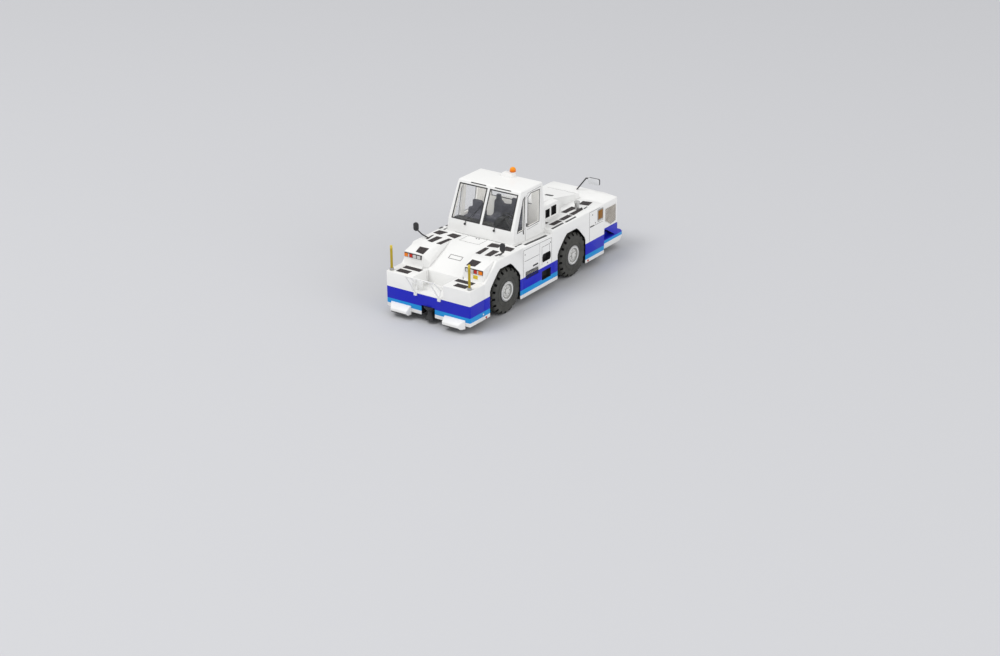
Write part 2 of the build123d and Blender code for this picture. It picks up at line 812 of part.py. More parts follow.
door_window_shares = [(0.446, 0.238), (0.804, 0.238), (0.872, 0.919), (0.592, 0.933), (0.496, 0.867)]
quarter_window = cab_places(quarter_window_shares)
door_window = cab_places(door_window_shares)

with BuildPart() as cab_front:
    side_slab(leaning_wall(front_edge, 0, cab_wall), -half_width, half_width)
    front_slab(cab_section, 0, cab_rear_station, Mode.INTERSECT)
    front_slab(pane_outline, 0, cab_rear_station, Mode.SUBTRACT)
    front_slab(other_pane_outline, 0, cab_rear_station, Mode.SUBTRACT)
keep(cab_front.part, "cab_front")

with BuildPart() as windscreen:
    side_slab(leaning_wall(front_edge, glass_depth, glass_thickness), -half_width, half_width)
    front_slab(pane_outline, 0, cab_rear_station, Mode.INTERSECT)
    mirror(about=Plane.YZ)
keep(windscreen.part, "windscreen")

side_wall_outline = [
    (cab_front_station + cab_wall, deck_height),
    (side_box_rear_station, side_box_rear_top),
    (side_box_rear_station, rear_deck_height),
    (cab_rear_station - cab_wall, rear_deck_height),
    (cab_rear_top_station - cab_wall, cab_wall_top),
    (header_station + cab_wall, cab_wall_top),
    (sill_station + cab_wall, sill_height),
]
with BuildPart() as cab_side_left:
    side_slab(side_wall_outline, 0, half_width)
    front_slab(wall_side_section(0, cab_wall), 0, rear_body_station, Mode.INTERSECT)
    side_slab(quarter_window, 0, half_width, Mode.SUBTRACT)
    side_slab(door_window, 0, half_width, Mode.SUBTRACT)
    side_slab(side_box_outline, 0, half_width, Mode.SUBTRACT)
keep(cab_side_left.part, "cab_side_left")
keep(twin(cab_side_left.part), "cab_side_right")

with BuildPart() as side_glass:
    side_slab(quarter_window, 0, half_width)
    side_slab(door_window, 0, half_width)
    front_slab(wall_side_section(glass_depth, glass_thickness), 0, rear_body_station,
               Mode.INTERSECT)
    mirror(about=Plane.YZ)
keep(side_glass.part, "side_glass")

with BuildPart() as cab_rear:
    side_slab(leaning_wall(rear_edge, -cab_wall, cab_wall), -half_width, half_width)
    front_slab(cab_section, 0, rear_body_station, Mode.INTERSECT)
    front_slab(rear_window_outline, 0, rear_body_station, Mode.SUBTRACT)
keep(cab_rear.part, "cab_rear")

with BuildPart() as rear_glass:
    side_slab(leaning_wall(rear_edge, -glass_depth - glass_thickness, glass_thickness),
              -half_width, half_width)
    front_slab(rear_window_outline, 0, rear_body_station, Mode.INTERSECT)
keep(rear_glass.part, "rear_glass")

roof_outline = [
    (header_station, cab_wall_top),
    (header_station + roof_edge / 2, cab_roof_top - roof_edge),
    (header_station + roof_edge * 3 / 2, cab_roof_top),
    (cab_rear_top_station - roof_edge, cab_roof_top),
    (cab_rear_top_station, cab_roof_top - roof_edge),
    (cab_rear_top_station, cab_wall_top),
]
roof_section = [
    (-cab_half_top, cab_wall_top),
    (-cab_half_top, cab_roof_top - roof_edge),
    (-cab_half_top + roof_edge, cab_roof_top),
    (cab_half_top - roof_edge, cab_roof_top),
    (cab_half_top, cab_roof_top - roof_edge),
    (cab_half_top, cab_wall_top),
]
with BuildPart() as cab_roof:
    side_slab(roof_outline, -cab_half_top, cab_half_top)
    front_slab(roof_section, 0, rear_body_station, Mode.INTERSECT)
keep(cab_roof.part, "cab_roof")

# Cab floor, dashboard, steering wheel and seats
floor_margin = 0.15
floor_gap = 0.1
floor_half_width = cab_half_base - cab_wall - floor_margin
with BuildPart() as cab_floor:
    block(-floor_half_width, floor_half_width, cab_front_station + cab_wall + floor_gap,
          side_box_rear_station, deck_height, rear_deck_height)
    block(-chassis_half_width, chassis_half_width, side_box_rear_station, cab_rear_station,
          deck_height, rear_deck_height)
keep(cab_floor.part, "cab_floor")

driver_share = 0.52
dash_margin = 0.25
dash_front_share = 0.080
dash_rear_share = 0.264
dash_top_share = 0.257
dome_share = 0.168
driver_x = floor_half_width * driver_share
dash_half_width = floor_half_width - dash_margin
dash_front_station = cab_at(dash_front_share)
dash_rear_station = cab_at(dash_rear_share)
dash_top = cab_level(dash_top_share)
dome_radius = 2.05
dome_station = cab_at(dome_share)
steering_radius = 1.35
steering_wire = 0.15
steering_sides = 4
steering_setback = 1.5
steering_rise = 1.5
steering_station = dash_rear_station + steering_setback
steering_height = dash_top + steering_rise
steering_rake = 35
column_radius = 0.25
column_length = 2.6
steering_axis = Vector(0, 1, 0).rotate(Axis.X, steering_rake)
steering_plane = Plane(origin=(driver_x, aft(steering_station), steering_height),
                       x_dir=(1, 0, 0), z_dir=steering_axis)
dash_outline = [
    (dash_front_station, rear_deck_height),
    (dash_front_station, dash_top),
    (dash_rear_station, dash_top),
    (dash_rear_station, rear_deck_height),
]
with BuildPart() as dashboard:
    side_slab(dash_outline, -dash_half_width, dash_half_width)
    with BuildSketch(Plane.XZ.offset(-aft(dome_station))):
        with Locations((driver_x, dash_top)):
            Circle(dome_radius)
    extrude(amount=dome_station - dash_rear_station)
    with BuildSketch(steering_plane.offset(-steering_wire)):
        Circle(column_radius)
    extrude(amount=-column_length)
keep(dashboard.part, "dashboard")

rim_plane = Plane(origin=steering_plane.origin, x_dir=steering_axis, z_dir=(1, 0, 0))
with BuildPart() as steering_wheel:
    with BuildSketch(rim_plane) as rim_section:
        with Locations((0, steering_radius)):
            RegularPolygon(steering_wire, steering_sides)
    revolve(rim_section.sketch, axis=Axis(steering_plane.origin, steering_axis))
    with Locations(steering_plane):
        Box(steering_radius * 2, steering_wire, steering_wire * 2)
        Cylinder(column_radius, steering_wire * 2)
keep(steering_wheel.part, "steering_wheel")

seat_cushion_share = 0.16
seat_cushion_depth = seat_cushion_share * (cab_rear_station - cab_front_station)
wide_seat_width = 4.8
middle_seat_width = 2.3
driver_seat_width = 4.6
seat_rise = 2.35
seat_cushion_top = rear_deck_height + seat_rise
seat_back_thickness = 0.9
seat_back_rake = 0.35
# Seat columns: middle as a share of the floor's half width, station as a share of the cab's
# length, width, height of the back and of the head rest as shares of the walls' height
seat_rows = [
    (-0.61, 0.44, wide_seat_width, 0.390, 0.571),
    (-0.16, 0.664, middle_seat_width, 0.543, 0.686),
    (0.42, 0.664, driver_seat_width, 0.514, 0.667),
]
head_rest_share = 0.55
with BuildPart() as seats:
    for x_share, station_share, seat_width, back_share, head_share in seat_rows:
        seat_x = x_share * floor_half_width
        seat_station = cab_at(station_share)
        seat_left = seat_x - seat_width / 2
        seat_right = seat_x + seat_width / 2
        back_top = cab_level(back_share)
        head_top = cab_level(head_share)
        back_outline = [
            (seat_station - seat_cushion_depth, rear_deck_height),
            (seat_station - seat_cushion_depth, seat_cushion_top),
            (seat_station, seat_cushion_top),
            (seat_station + seat_back_rake, back_top),
            (seat_station + seat_back_rake + seat_back_thickness, back_top),
            (seat_station + seat_back_thickness, rear_deck_height),
        ]
        side_slab(back_outline, seat_left, seat_right)
        head_half = seat_width * head_rest_share / 2
        block(seat_x - head_half, seat_x + head_half, seat_station + seat_back_rake,
              seat_station + seat_back_rake + seat_back_thickness, back_top, head_top)
keep(seats.part, "seats")

# Beacon: a tapered white foot on the roof and an orange dome
beacon_x = 1.0
beacon_setback = 0.85
beacon_station = cab_rear_top_station - beacon_setback
beacon_foot_width = 3.0
beacon_foot_depth = 1.7
beacon_foot_taper = 0.3
beacon_foot_height = 0.8
beacon_foot_offset = 0.95
beacon_foot_x = beacon_x - beacon_foot_offset
beacon_foot_station = cab_rear_top_station - roof_edge - beacon_foot_depth / 2
collar_radius = 0.55
collar_height = 0.3
lens_radius = 0.68
lens_wall_height = 0.4
foot_top_height = cab_roof_top + beacon_foot_height
lens_bottom = foot_top_height + collar_height
with BuildPart() as beacon_base:
    for height, taper in ((cab_roof_top, 0), (foot_top_height, beacon_foot_taper)):
        with BuildSketch(Plane.XY.offset(height)):
            with Locations((beacon_foot_x, aft(beacon_foot_station))):
                Rectangle(beacon_foot_width - taper * 2, beacon_foot_depth - taper)
    loft()
    round_slab(beacon_x, beacon_station, collar_radius, foot_top_height, lens_bottom)
keep(beacon_base.part, "beacon_base")

with BuildPart() as beacon_lens:
    round_slab(beacon_x, beacon_station, lens_radius, lens_bottom, lens_bottom + lens_wall_height)
    with Locations((beacon_x, aft(beacon_station), lens_bottom + lens_wall_height)):
        Sphere(lens_radius, arc_size1=0, align=(Align.CENTER, Align.CENTER, Align.MIN))
keep(beacon_lens.part, "beacon_lens")

# Mirrors: one on each side of the front deck, and one at the rear for the coupling
stalk_radius = 0.16
mirror_width = 1.2
mirror_thickness = 0.4
mirror_tall = 1.9
mirror_corner = 0.55
mirror_overhang = 0.4
mirror_setback = 6.15
mirror_rise = 2.6
mirror_x = half_width + mirror_overhang
mirror_station = bumper_depth + mirror_setback
mirror_height = deck_height + mirror_rise
# Stalk columns: inwards from the mirror, behind the mirror, above the deck
stalk_bends = [
    (2.0, 1.55, 0),
    (0.9, 0.95, 0.7),
    (0, 0.1, 2.0),
]
mirror_stalk = [(mirror_x - inwards, mirror_station + behind, deck_height + above)
                for inwards, behind, above in stalk_bends]


def mirror_plate(x, station, height, width, tall, corner):
    """An upright plate with round corners, facing the tractor's rear."""
    with BuildPart() as plate:
        with Locations((x, aft(station), height)):
            Box(width, mirror_thickness, tall)
        fillet(plate.edges().filter_by(Axis.Y), corner)
    return plate.part


with BuildPart() as deck_mirrors:
    rod(from_below(mirror_stalk), stalk_radius)
    split(bisect_by=Plane.XY.offset(deck_height), keep=Keep.TOP)
    add(mirror_plate(mirror_x, mirror_station, mirror_height,
                     mirror_width, mirror_tall, mirror_corner))
    mirror(about=Plane.YZ)
keep(deck_mirrors.part, "deck_mirrors")

rear_mirror_width = 3.0
rear_mirror_tall = 1.5
rear_mirror_corner = 0.35
rear_mirror_x = 5.0
rear_mirror_share = 0.471
rear_mirror_rise = 2.65
rear_mirror_station = rear_at(rear_mirror_share)
rear_mirror_height = rear_deck_height + rear_mirror_rise
# Stalk columns: inwards from the mirror, ahead of the mirror, above the deck
rear_stalk_bends = [
    (4.4, 0.4, 0),
    (2.1, 0.1, 3.05),
    (1.2, 0, 3.15),
]
rear_mirror_stalk = [(rear_mirror_x - inwards, rear_mirror_station - ahead,
                      rear_deck_height + above)
                     for inwards, ahead, above in rear_stalk_bends]
with BuildPart() as rear_mirror:
    rod(from_below(rear_mirror_stalk), stalk_radius)
    split(bisect_by=Plane.XY.offset(rear_deck_height), keep=Keep.TOP)
    add(mirror_plate(rear_mirror_x, rear_mirror_station, rear_mirror_height,
                     rear_mirror_width, rear_mirror_tall, rear_mirror_corner))
keep(rear_mirror.part, "rear_mirror")

# Filler neck with its cap on the left rear wing
filler_inset = 3.0
filler_setback = 6.6
filler_x = half_width - filler_inset
filler_station = rear_arch_station + filler_setback
filler_radius = 0.52
filler_cap_radius = 0.66
filler_rise = 1.45
filler_cap_height = 0.5
filler_top = rear_deck_height + filler_rise
with BuildPart() as filler_neck:
    round_slab(filler_x, filler_station, filler_radius, rear_deck_height, filler_top)
    round_slab(filler_x, filler_station, filler_cap_radius, filler_top,
               filler_top + filler_cap_height)
keep(filler_neck.part, "filler_neck")

# Wheels: two on each axle, turning with the axle rod
tyre_side_gap = 0.15
tyre_outer_x = half_width - skin_thickness - tyre_side_gap
tyre_width = 3.3
tyre_bore = 2.2
tyre_shoulder = 0.4
rim_clearance = 0.02
rim_lip = 0.1
hub_dish_radius = 1.95
hub_dish_depth = 0.4
hub_boss_radius = 1.35
hub_boss_depth = 0.12
axle_socket_depth = 0.9
lug_count = 19
lug_groove_width = 0.55
lug_groove_depth = 0.65
lug_groove_reach = 0.7

tyre_inner_x = tyre_outer_x - tyre_width
hub_inner_x = tyre_inner_x
hub_outer_x = tyre_outer_x
tyre_outline = [
    (tyre_inner_x, tyre_bore),
    (tyre_outer_x, tyre_bore),
    (tyre_outer_x, wheel_radius - tyre_shoulder),
    (tyre_outer_x - tyre_shoulder, wheel_radius),
    (tyre_inner_x, wheel_radius),
]
hub_outline = [
    (hub_inner_x, axle_radius + rim_clearance),
    (hub_inner_x, tyre_bore - rim_clearance),
    (hub_outer_x + rim_lip, tyre_bore - rim_clearance),
    (hub_outer_x + rim_lip, hub_dish_radius),
    (hub_outer_x - hub_dish_depth, hub_dish_radius),
    (hub_outer_x - hub_dish_depth, hub_boss_radius),
    (hub_outer_x - hub_boss_depth, hub_boss_radius),
    (hub_outer_x - hub_boss_depth, 0),
    (hub_inner_x + axle_socket_depth, 0),
    (hub_inner_x + axle_socket_depth, axle_radius + rim_clearance),
]


def wheel_ring(outline, axle_station):
    """An (x, radius) outline turned about an axle's line."""
    centre = (0, aft(axle_station), axle_height)
    with BuildPart() as ring:
        with BuildSketch(Plane(origin=centre, x_dir=(1, 0, 0), z_dir=(0, -1, 0))) as section:
            with BuildLine():
                Polyline(*outline, close=True)
            make_face()
        revolve(section.sketch, axis=Axis(centre, (1, 0, 0)))
    return ring.part


for end_name, axle_station in (("front", front_axle_station), ("rear", rear_axle_station)):
    axle_plane = Plane(origin=(0, aft(axle_station), axle_height), z_dir=(1, 0, 0))
    with BuildPart() as tyre:
        add(wheel_ring(tyre_outline, axle_station))
        with Locations(axle_plane.offset(tyre_outer_x)):
            with PolarLocations(wheel_radius, lug_count):
                Box(lug_groove_depth * 2, lug_groove_width, lug_groove_reach * 2,
                    mode=Mode.SUBTRACT)
    hub = wheel_ring(hub_outline, axle_station)
    with BuildPart() as axle:
        with Locations(axle_plane):
            Cylinder(axle_radius, 2 * (hub_inner_x + axle_socket_depth))
    keep(twin(tyre.part), "tyre_" + end_name + "_right")
    keep(twin(hub), "hub_" + end_name + "_right")
    keep(tyre.part, "tyre_" + end_name + "_left")
    keep(hub, "hub_" + end_name + "_left")
    keep(axle.part, end_name + "_axle")
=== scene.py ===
import bpy
import math
from mathutils import Matrix, Vector


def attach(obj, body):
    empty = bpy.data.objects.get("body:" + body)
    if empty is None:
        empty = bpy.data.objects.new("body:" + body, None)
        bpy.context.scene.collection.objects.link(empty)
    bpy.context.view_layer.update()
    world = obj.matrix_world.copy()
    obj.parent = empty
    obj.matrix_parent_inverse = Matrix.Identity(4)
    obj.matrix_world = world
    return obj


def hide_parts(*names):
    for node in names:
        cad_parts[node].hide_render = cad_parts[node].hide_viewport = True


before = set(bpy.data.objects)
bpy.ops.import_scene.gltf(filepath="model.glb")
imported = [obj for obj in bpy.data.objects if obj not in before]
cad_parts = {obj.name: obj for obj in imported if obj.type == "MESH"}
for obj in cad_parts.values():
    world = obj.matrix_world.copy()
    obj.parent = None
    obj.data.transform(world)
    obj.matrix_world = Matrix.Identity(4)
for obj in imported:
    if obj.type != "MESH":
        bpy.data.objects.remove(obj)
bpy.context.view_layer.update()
bpy.ops.object.select_all(action="DESELECT")

# Lengths are written in millimetres and turned into metres by place() or MM.
# X points to the tractor's left, and a station is counted rearwards from the bumper's face.
MM = 0.001
BUMPER_FACE_Y = -29.45
LEFT = Vector((1, 0, 0))
FRONT = Vector((0, -1, 0))
REAR = Vector((0, 1, 0))
UP = Vector((0, 0, 1))
WELD = 0.0002 * MM
FRONT_AXLE = 14.1
REAR_AXLE = 39.85
FRONT_ARCH = 12.9
REAR_ARCH = 38.65
AXLE_HEIGHT = 5.1
DECK = 13.5
REAR_DECK = 13.75
BUMPER_TOP = 9.72
TROUGH_FLOOR = 6.55
SIDE_X = 11.0


def place(x, station, z):
    return Vector((x, station + BUMPER_FACE_Y, z)) * MM


# Camera

camera_data = bpy.data.cameras.new("camera")
camera_data.lens = 75.0
camera_data.sensor_width = 36.0
camera_data.clip_start = 0.01
camera_data.clip_end = 20.0
camera = bpy.data.objects.new("camera", camera_data)
camera.location = (0.24669, -0.35285, 0.17306)
camera.rotation_euler = [math.radians(angle) for angle in (66.806, 0.409, 35.020)]
bpy.context.scene.collection.objects.link(camera)
bpy.context.scene.camera = camera


# Finishes

def new_material(name, colour, roughness=0.5, metallic=0.0, coat=0.0, specular=0.5):
    material = bpy.data.materials.new(name)
    material.use_nodes = True
    shader = material.node_tree.nodes["Principled BSDF"]
    shader.inputs["Base Color"].default_value = (*colour, 1)
    shader.inputs["Roughness"].default_value = roughness
    shader.inputs["Metallic"].default_value = metallic
    shader.inputs["Coat Weight"].default_value = coat
    shader.inputs["Coat Roughness"].default_value = 0.08
    shader.inputs["Specular IOR Level"].default_value = specular
    material.diffuse_color = (*colour, 1)
    return material, material.node_tree, shader


def add_node(tree, kind, **settings):
    node = tree.nodes.new(kind)
    for key, value in settings.items():
        setattr(node, key, value)
    return node


def set_inputs(node, **values):
    for key, value in values.items():
        node.inputs[key.replace("_", " ")].default_value = value


def object_place(tree):
    return add_node(tree, "ShaderNodeTexCoord").outputs["Object"]


def new_group(name, outputs):
    group = bpy.data.node_groups.new(name, "ShaderNodeTree")
    for label, kind in outputs:
        group.interface.new_socket(name=label, in_out="OUTPUT", socket_type=kind)
    return group, add_node(group, "NodeGroupOutput")


def noise(tree, vector, scale, detail=2.0, rough=0.5):
    node = add_node(tree, "ShaderNodeTexNoise")
    set_inputs(node, Scale=scale, Detail=detail, Roughness=rough)
    tree.links.new(vector, node.inputs["Vector"])
    return node.outputs["Fac"]


def ramp(tree, value, stops, interpolation="LINEAR"):
    node = add_node(tree, "ShaderNodeValToRGB")
    node.color_ramp.interpolation = interpolation
    while len(node.color_ramp.elements) < len(stops):
        node.color_ramp.elements.new(1.0)
    for element, (position, colour) in zip(node.color_ramp.elements, stops):
        element.position = position
        element.color = (*colour, 1)
    tree.links.new(value, node.inputs["Fac"])
    return node.outputs["Color"]


def map_range(tree, value, low, high, to_low=0.0, to_high=1.0):
    node = add_node(tree, "ShaderNodeMapRange")
    set_inputs(node, From_Min=low, From_Max=high, To_Min=to_low, To_Max=to_high)
    tree.links.new(value, node.inputs["Value"])
    return node.outputs["Result"]


def height_share(tree, low, high):
    """A value that runs from 0 to 1 between two heights above the ground."""
    separate = add_node(tree, "ShaderNodeSeparateXYZ")
    tree.links.new(object_place(tree), separate.inputs["Vector"])
    return map_range(tree, separate.outputs["Z"], low * MM, high * MM)


def mix_colour(tree, factor, first, second, blend="MIX"):
    node = add_node(tree, "ShaderNodeMix", data_type="RGBA", blend_type=blend)
    for socket, source in ((node.inputs[0], factor), (node.inputs[6], first), (node.inputs[7], second)):
        if isinstance(source, bpy.types.NodeSocket):
            tree.links.new(source, socket)
        elif isinstance(source, tuple):
            socket.default_value = (*source, 1)
        else:
            socket.default_value = source
    return node.outputs[2]


def use_group(tree, group):
    node = add_node(tree, "ShaderNodeGroup")
    node.node_tree = group
    return node


def bump(tree, shader, height, distance, strength=1.0):
    node = add_node(tree, "ShaderNodeBump")
    set_inputs(node, Strength=strength, Distance=distance)
    tree.links.new(height, node.inputs["Height"])
    tree.links.new(node.outputs["Normal"], shader.inputs["Normal"])


def sprayed_gloss():
    """Sprayed paint: a faint orange peel and small changes of gloss."""
    group, out = new_group("sprayed_gloss", [("Roughness", "NodeSocketFloat"),
                                             ("Height", "NodeSocketFloat"),
                                             ("Dust", "NodeSocketFloat")])
    where = object_place(group)
    patches = noise(group, where, 220, 3, 0.6)
    group.links.new(map_range(group, patches, 0.3, 0.7, 0.30, 0.36), out.inputs["Roughness"])
    group.links.new(noise(group, where, 2600, 2, 0.5), out.inputs["Height"])
    specks = noise(group, where, 900, 4, 0.7)
    group.links.new(map_range(group, specks, 0.55, 0.75, 0.0, 1.0), out.inputs["Dust"])
    return group


def moulded_grain():
    """Moulded plastic: fine grain in its height and its gloss."""
    group, out = new_group("moulded_grain", [("Roughness", "NodeSocketFloat"),
                                             ("Height", "NodeSocketFloat"),
                                             ("Tone", "NodeSocketFloat")])
    where = object_place(group)
    fine = noise(group, where, 4200, 3, 0.6)
    group.links.new(map_range(group, fine, 0.3, 0.7, 0.42, 0.6), out.inputs["Roughness"])
    group.links.new(fine, out.inputs["Height"])
    group.links.new(map_range(group, noise(group, where, 500, 3, 0.6), 0.3, 0.7), out.inputs["Tone"])
    return group


SPRAYED = sprayed_gloss()
GRAIN = moulded_grain()

WHITE = (0.85, 0.85, 0.84)
DEEP_BLUE = (0.012, 0.018, 0.50)
LIGHT_BLUE = (0.012, 0.30, 0.72)
PAINT = {"roughness": 0.3, "coat": 0.04, "specular": 0.22}
BANDS_TOP = 10
DUST_SHARE = 0.35
DUST_TONE = 0.93


def spray(tree, shader, colour, dusty):
    """The sprayed finish over a colour, dusty in small specks."""
    finish = use_group(tree, SPRAYED)
    tree.links.new(mix_colour(tree, finish.outputs["Dust"], colour, dusty), shader.inputs["Base Color"])
    tree.links.new(finish.outputs["Roughness"], shader.inputs["Roughness"])
    bump(tree, shader, finish.outputs["Height"], 0.003 * MM, 0.2)


def striped_paint(name, light_from, deep_from, deep_to):
    """White paint with the two blue bands, told apart by their share of the height BANDS_TOP."""
    material, tree, shader = new_material(name, WHITE, **PAINT)
    bands = ramp(tree, height_share(tree, 0, BANDS_TOP),
                 [(0.0, WHITE), (light_from, LIGHT_BLUE), (deep_from, DEEP_BLUE), (deep_to, WHITE)],
                 "CONSTANT")
    spray(tree, shader, bands, mix_colour(tree, DUST_SHARE, bands, (0.95, 0.945, 0.93), "MULTIPLY"))
    return material


def plain_paint(name, colour):
    material, tree, shader = new_material(name, colour, **PAINT)
    spray(tree, shader, colour, tuple(part * DUST_TONE for part in colour))
    return material


def glowing_cab_lining():
    """The inside of the cab: white plastic with a faint glow, painted light that brightens its shaded
    inside.
    """
    material, tree, shader = new_material("glowing_cab_lining", WHITE, 0.5, specular=0.2)
    finish = use_group(tree, GRAIN)
    tree.links.new(mix_colour(tree, finish.outputs["Tone"], (0.76, 0.755, 0.73), (0.83, 0.825, 0.80)),
                   shader.inputs["Base Color"])
    tree.links.new(mix_colour(tree, finish.outputs["Tone"], (0.88, 0.86, 0.82), (0.95, 0.93, 0.89)),
                   shader.inputs["Emission Color"])
    # Painted light: a faint glow lifts the shaded inside of the cab.
    shader.inputs["Emission Strength"].default_value = 0.26
    bump(tree, shader, finish.outputs["Height"], 0.006 * MM, 0.3)
    return material


def moulded_plastic(name, dark, light, coat=0.0):
    material, tree, shader = new_material(name, light, 0.5, coat=coat)
    finish = use_group(tree, GRAIN)
    tree.links.new(mix_colour(tree, finish.outputs["Tone"], dark, light), shader.inputs["Base Color"])
    tree.links.new(finish.outputs["Roughness"], shader.inputs["Roughness"])
    bump(tree, shader, finish.outputs["Height"], 0.012 * MM, 0.5)
    return material


def anti_slip():
    """Coarse grip film on the decks: dark brown-black with pale grit."""
    material, tree, shader = new_material("anti_slip_film", (0.02, 0.016, 0.015), 0.85)
    grit = add_node(tree, "ShaderNodeTexVoronoi")
    set_inputs(grit, Scale=5200)
    tree.links.new(object_place(tree), grit.inputs["Vector"])
    stops = [(0.0, (0.12, 0.10, 0.098)), (0.35, (0.045, 0.037, 0.037)), (0.8, (0.016, 0.013, 0.014))]
    tree.links.new(ramp(tree, grit.outputs["Distance"], stops), shader.inputs["Base Color"])
    bump(tree, shader, grit.outputs["Distance"], 0.03 * MM, 0.8)
    return material


def rubber():
    """Tyre rubber: dull dark grey, paler where it is dusty."""
    material, tree, shader = new_material("tyre_rubber", (0.07, 0.07, 0.066), 0.8, specular=0.3)
    where = object_place(tree)
    dust = map_range(tree, noise(tree, where, 700, 5, 0.65), 0.35, 0.7)
    tree.links.new(mix_colour(tree, dust, (0.052, 0.052, 0.048), (0.088, 0.088, 0.080)),
                   shader.inputs["Base Color"])
    tree.links.new(map_range(tree, dust, 0.0, 1.0, 0.72, 0.9), shader.inputs["Roughness"])
    bump(tree, shader, noise(tree, where, 3600, 3, 0.6), 0.02 * MM, 0.5)
    return material


def glazing():
    """Thin clear plastic: a faint grey film, stronger at a glancing angle."""
    material, tree, shader = new_material("glazing", (0.72, 0.75, 0.76), 0.05, specular=0.3)
    glance = add_node(tree, "ShaderNodeLayerWeight")
    set_inputs(glance, Blend=0.35)
    smear = noise(tree, object_place(tree), 160, 3, 0.6)
    film = map_range(tree, smear, 0.3, 0.7, 0.9, 1.15)
    clear = map_range(tree, glance.outputs["Facing"], 0.0, 1.0, 0.012, 0.08)
    product = add_node(tree, "ShaderNodeMath", operation="MULTIPLY")
    tree.links.new(clear, product.inputs[0])
    tree.links.new(film, product.inputs[1])
    tree.links.new(product.outputs["Value"], shader.inputs["Alpha"])
    material.surface_render_method = "BLENDED"
    return material


def ribs(tree, direction, scale):
    """Even ribs across one direction."""
    wave = add_node(tree, "ShaderNodeTexWave", bands_direction=direction)
    set_inputs(wave, Scale=scale, Distortion=0.0, Detail=0.0)
    tree.links.new(object_place(tree), wave.inputs["Vector"])
    return wave.outputs["Fac"]


def lens(name, dark, light, coat=0.3):
    """A ribbed lamp lens over its reflector."""
    material, tree, shader = new_material(name, light, 0.25, coat=coat, specular=0.25)
    wave = ribs(tree, "X", 2600)
    tree.links.new(mix_colour(tree, wave, dark, light), shader.inputs["Base Color"])
    bump(tree, shader, wave, 0.02 * MM, 0.4)
    return material


def beacon_plastic():
    """The beacon's orange dome, with painted shading: lighter above where light falls, darker towards its
    seat.
    """
    material, tree, shader = new_material("beacon_orange", (0.85, 0.22, 0.002), 0.3, coat=0.15,
                                          specular=0.25)
    # Painted shading by height, from a shaded foot to a lit top.
    stops = [(0.0, (0.50, 0.10, 0.001)), (0.45, (0.78, 0.20, 0.002)), (1.0, (0.84, 0.33, 0.008))]
    tree.links.new(ramp(tree, height_share(tree, 25.6, 26.7), stops), shader.inputs["Base Color"])
    shader.inputs["Emission Color"].default_value = (1.0, 0.25, 0.01, 1)
    shader.inputs["Emission Strength"].default_value = 0.06
    bump(tree, shader, ribs(tree, "Z", 1400), 0.01 * MM, 0.25)
    return material


def pole_paint():
    """Olive yellow marker poles with a paler tip."""
    material, tree, shader = new_material("pole_yellow", (0.50, 0.37, 0.02), 0.4, coat=0.04,
                                          specular=0.25)
    finish = use_group(tree, SPRAYED)
    stops = [(0.0, (0.40, 0.29, 0.015)), (0.85, (0.46, 0.34, 0.02)), (0.9, (0.68, 0.52, 0.06))]
    run = ramp(tree, height_share(tree, 9.7, 15.4), stops)
    tree.links.new(mix_colour(tree, finish.outputs["Dust"], run, (0.34, 0.25, 0.02)),
                   shader.inputs["Base Color"])
    bump(tree, shader, finish.outputs["Height"], 0.006 * MM, 0.4)
    return material


def brushed_steel(name, colour, roughness):
    """Steel with fine streaks along X."""
    material, tree, shader = new_material(name, colour, roughness, metallic=1.0)
    mapping = add_node(tree, "ShaderNodeMapping")
    set_inputs(mapping, Scale=(400, 6000, 6000))
    tree.links.new(object_place(tree), mapping.inputs["Vector"])
    streaks = noise(tree, mapping.outputs["Vector"], 1.0, 3, 0.6)
    tree.links.new(map_range(tree, streaks, 0.3, 0.7, roughness - 0.08, roughness + 0.1),
                   shader.inputs["Roughness"])
    dark = tuple(part * 0.8 for part in colour)
    tree.links.new(mix_colour(tree, streaks, dark, colour), shader.inputs["Base Color"])
    bump(tree, shader, streaks, 0.004 * MM, 0.3)
    return material


GLOWING_LINING = glowing_cab_lining()
BODY = striped_paint("body_paint", 0.257, 0.366, 0.634)
STEP_PAINT = striped_paint("step_paint", 0.275, 0.345, 0.66)
PLAIN_WHITE = plain_paint("white_paint", WHITE)
# Near-black painted shade, put on faces in the wheel rooms, slots, notches and undersides where shade
# falls.
SHADE_BLACK = moulded_plastic("painted_shade_black", (0.006, 0.006, 0.007), (0.014, 0.014, 0.015))
BLACK = moulded_plastic("black_plastic", (0.010, 0.010, 0.011), (0.024, 0.024, 0.026), 0.1)
UNDERFRAME = moulded_plastic("underframe_black", (0.012, 0.012, 0.012), (0.028, 0.028, 0.027))
CABIN = moulded_plastic("cab_seat_grey", (0.065, 0.066, 0.085), (0.11, 0.112, 0.14))
CABIN_FLOOR = moulded_plastic("cab_floor_grey", (0.060, 0.058, 0.060), (0.10, 0.097, 0.10))
GREY = moulded_plastic("grey_plastic", (0.30, 0.30, 0.29), (0.40, 0.40, 0.385), 0.1)
LINE = moulded_plastic("panel_line_wash", (0.09, 0.085, 0.08), (0.15, 0.143, 0.136))
DARK_LINE = moulded_plastic("dark_line_wash", (0.03, 0.028, 0.028), (0.06, 0.056, 0.055))
GRIP = anti_slip()
TYRE = rubber()
HUB = moulded_plastic("hub_plastic", (0.58, 0.58, 0.565), (0.68, 0.68, 0.66))
HUB_RIM = moulded_plastic("hub_rim", (0.80, 0.80, 0.79), (0.88, 0.88, 0.87))
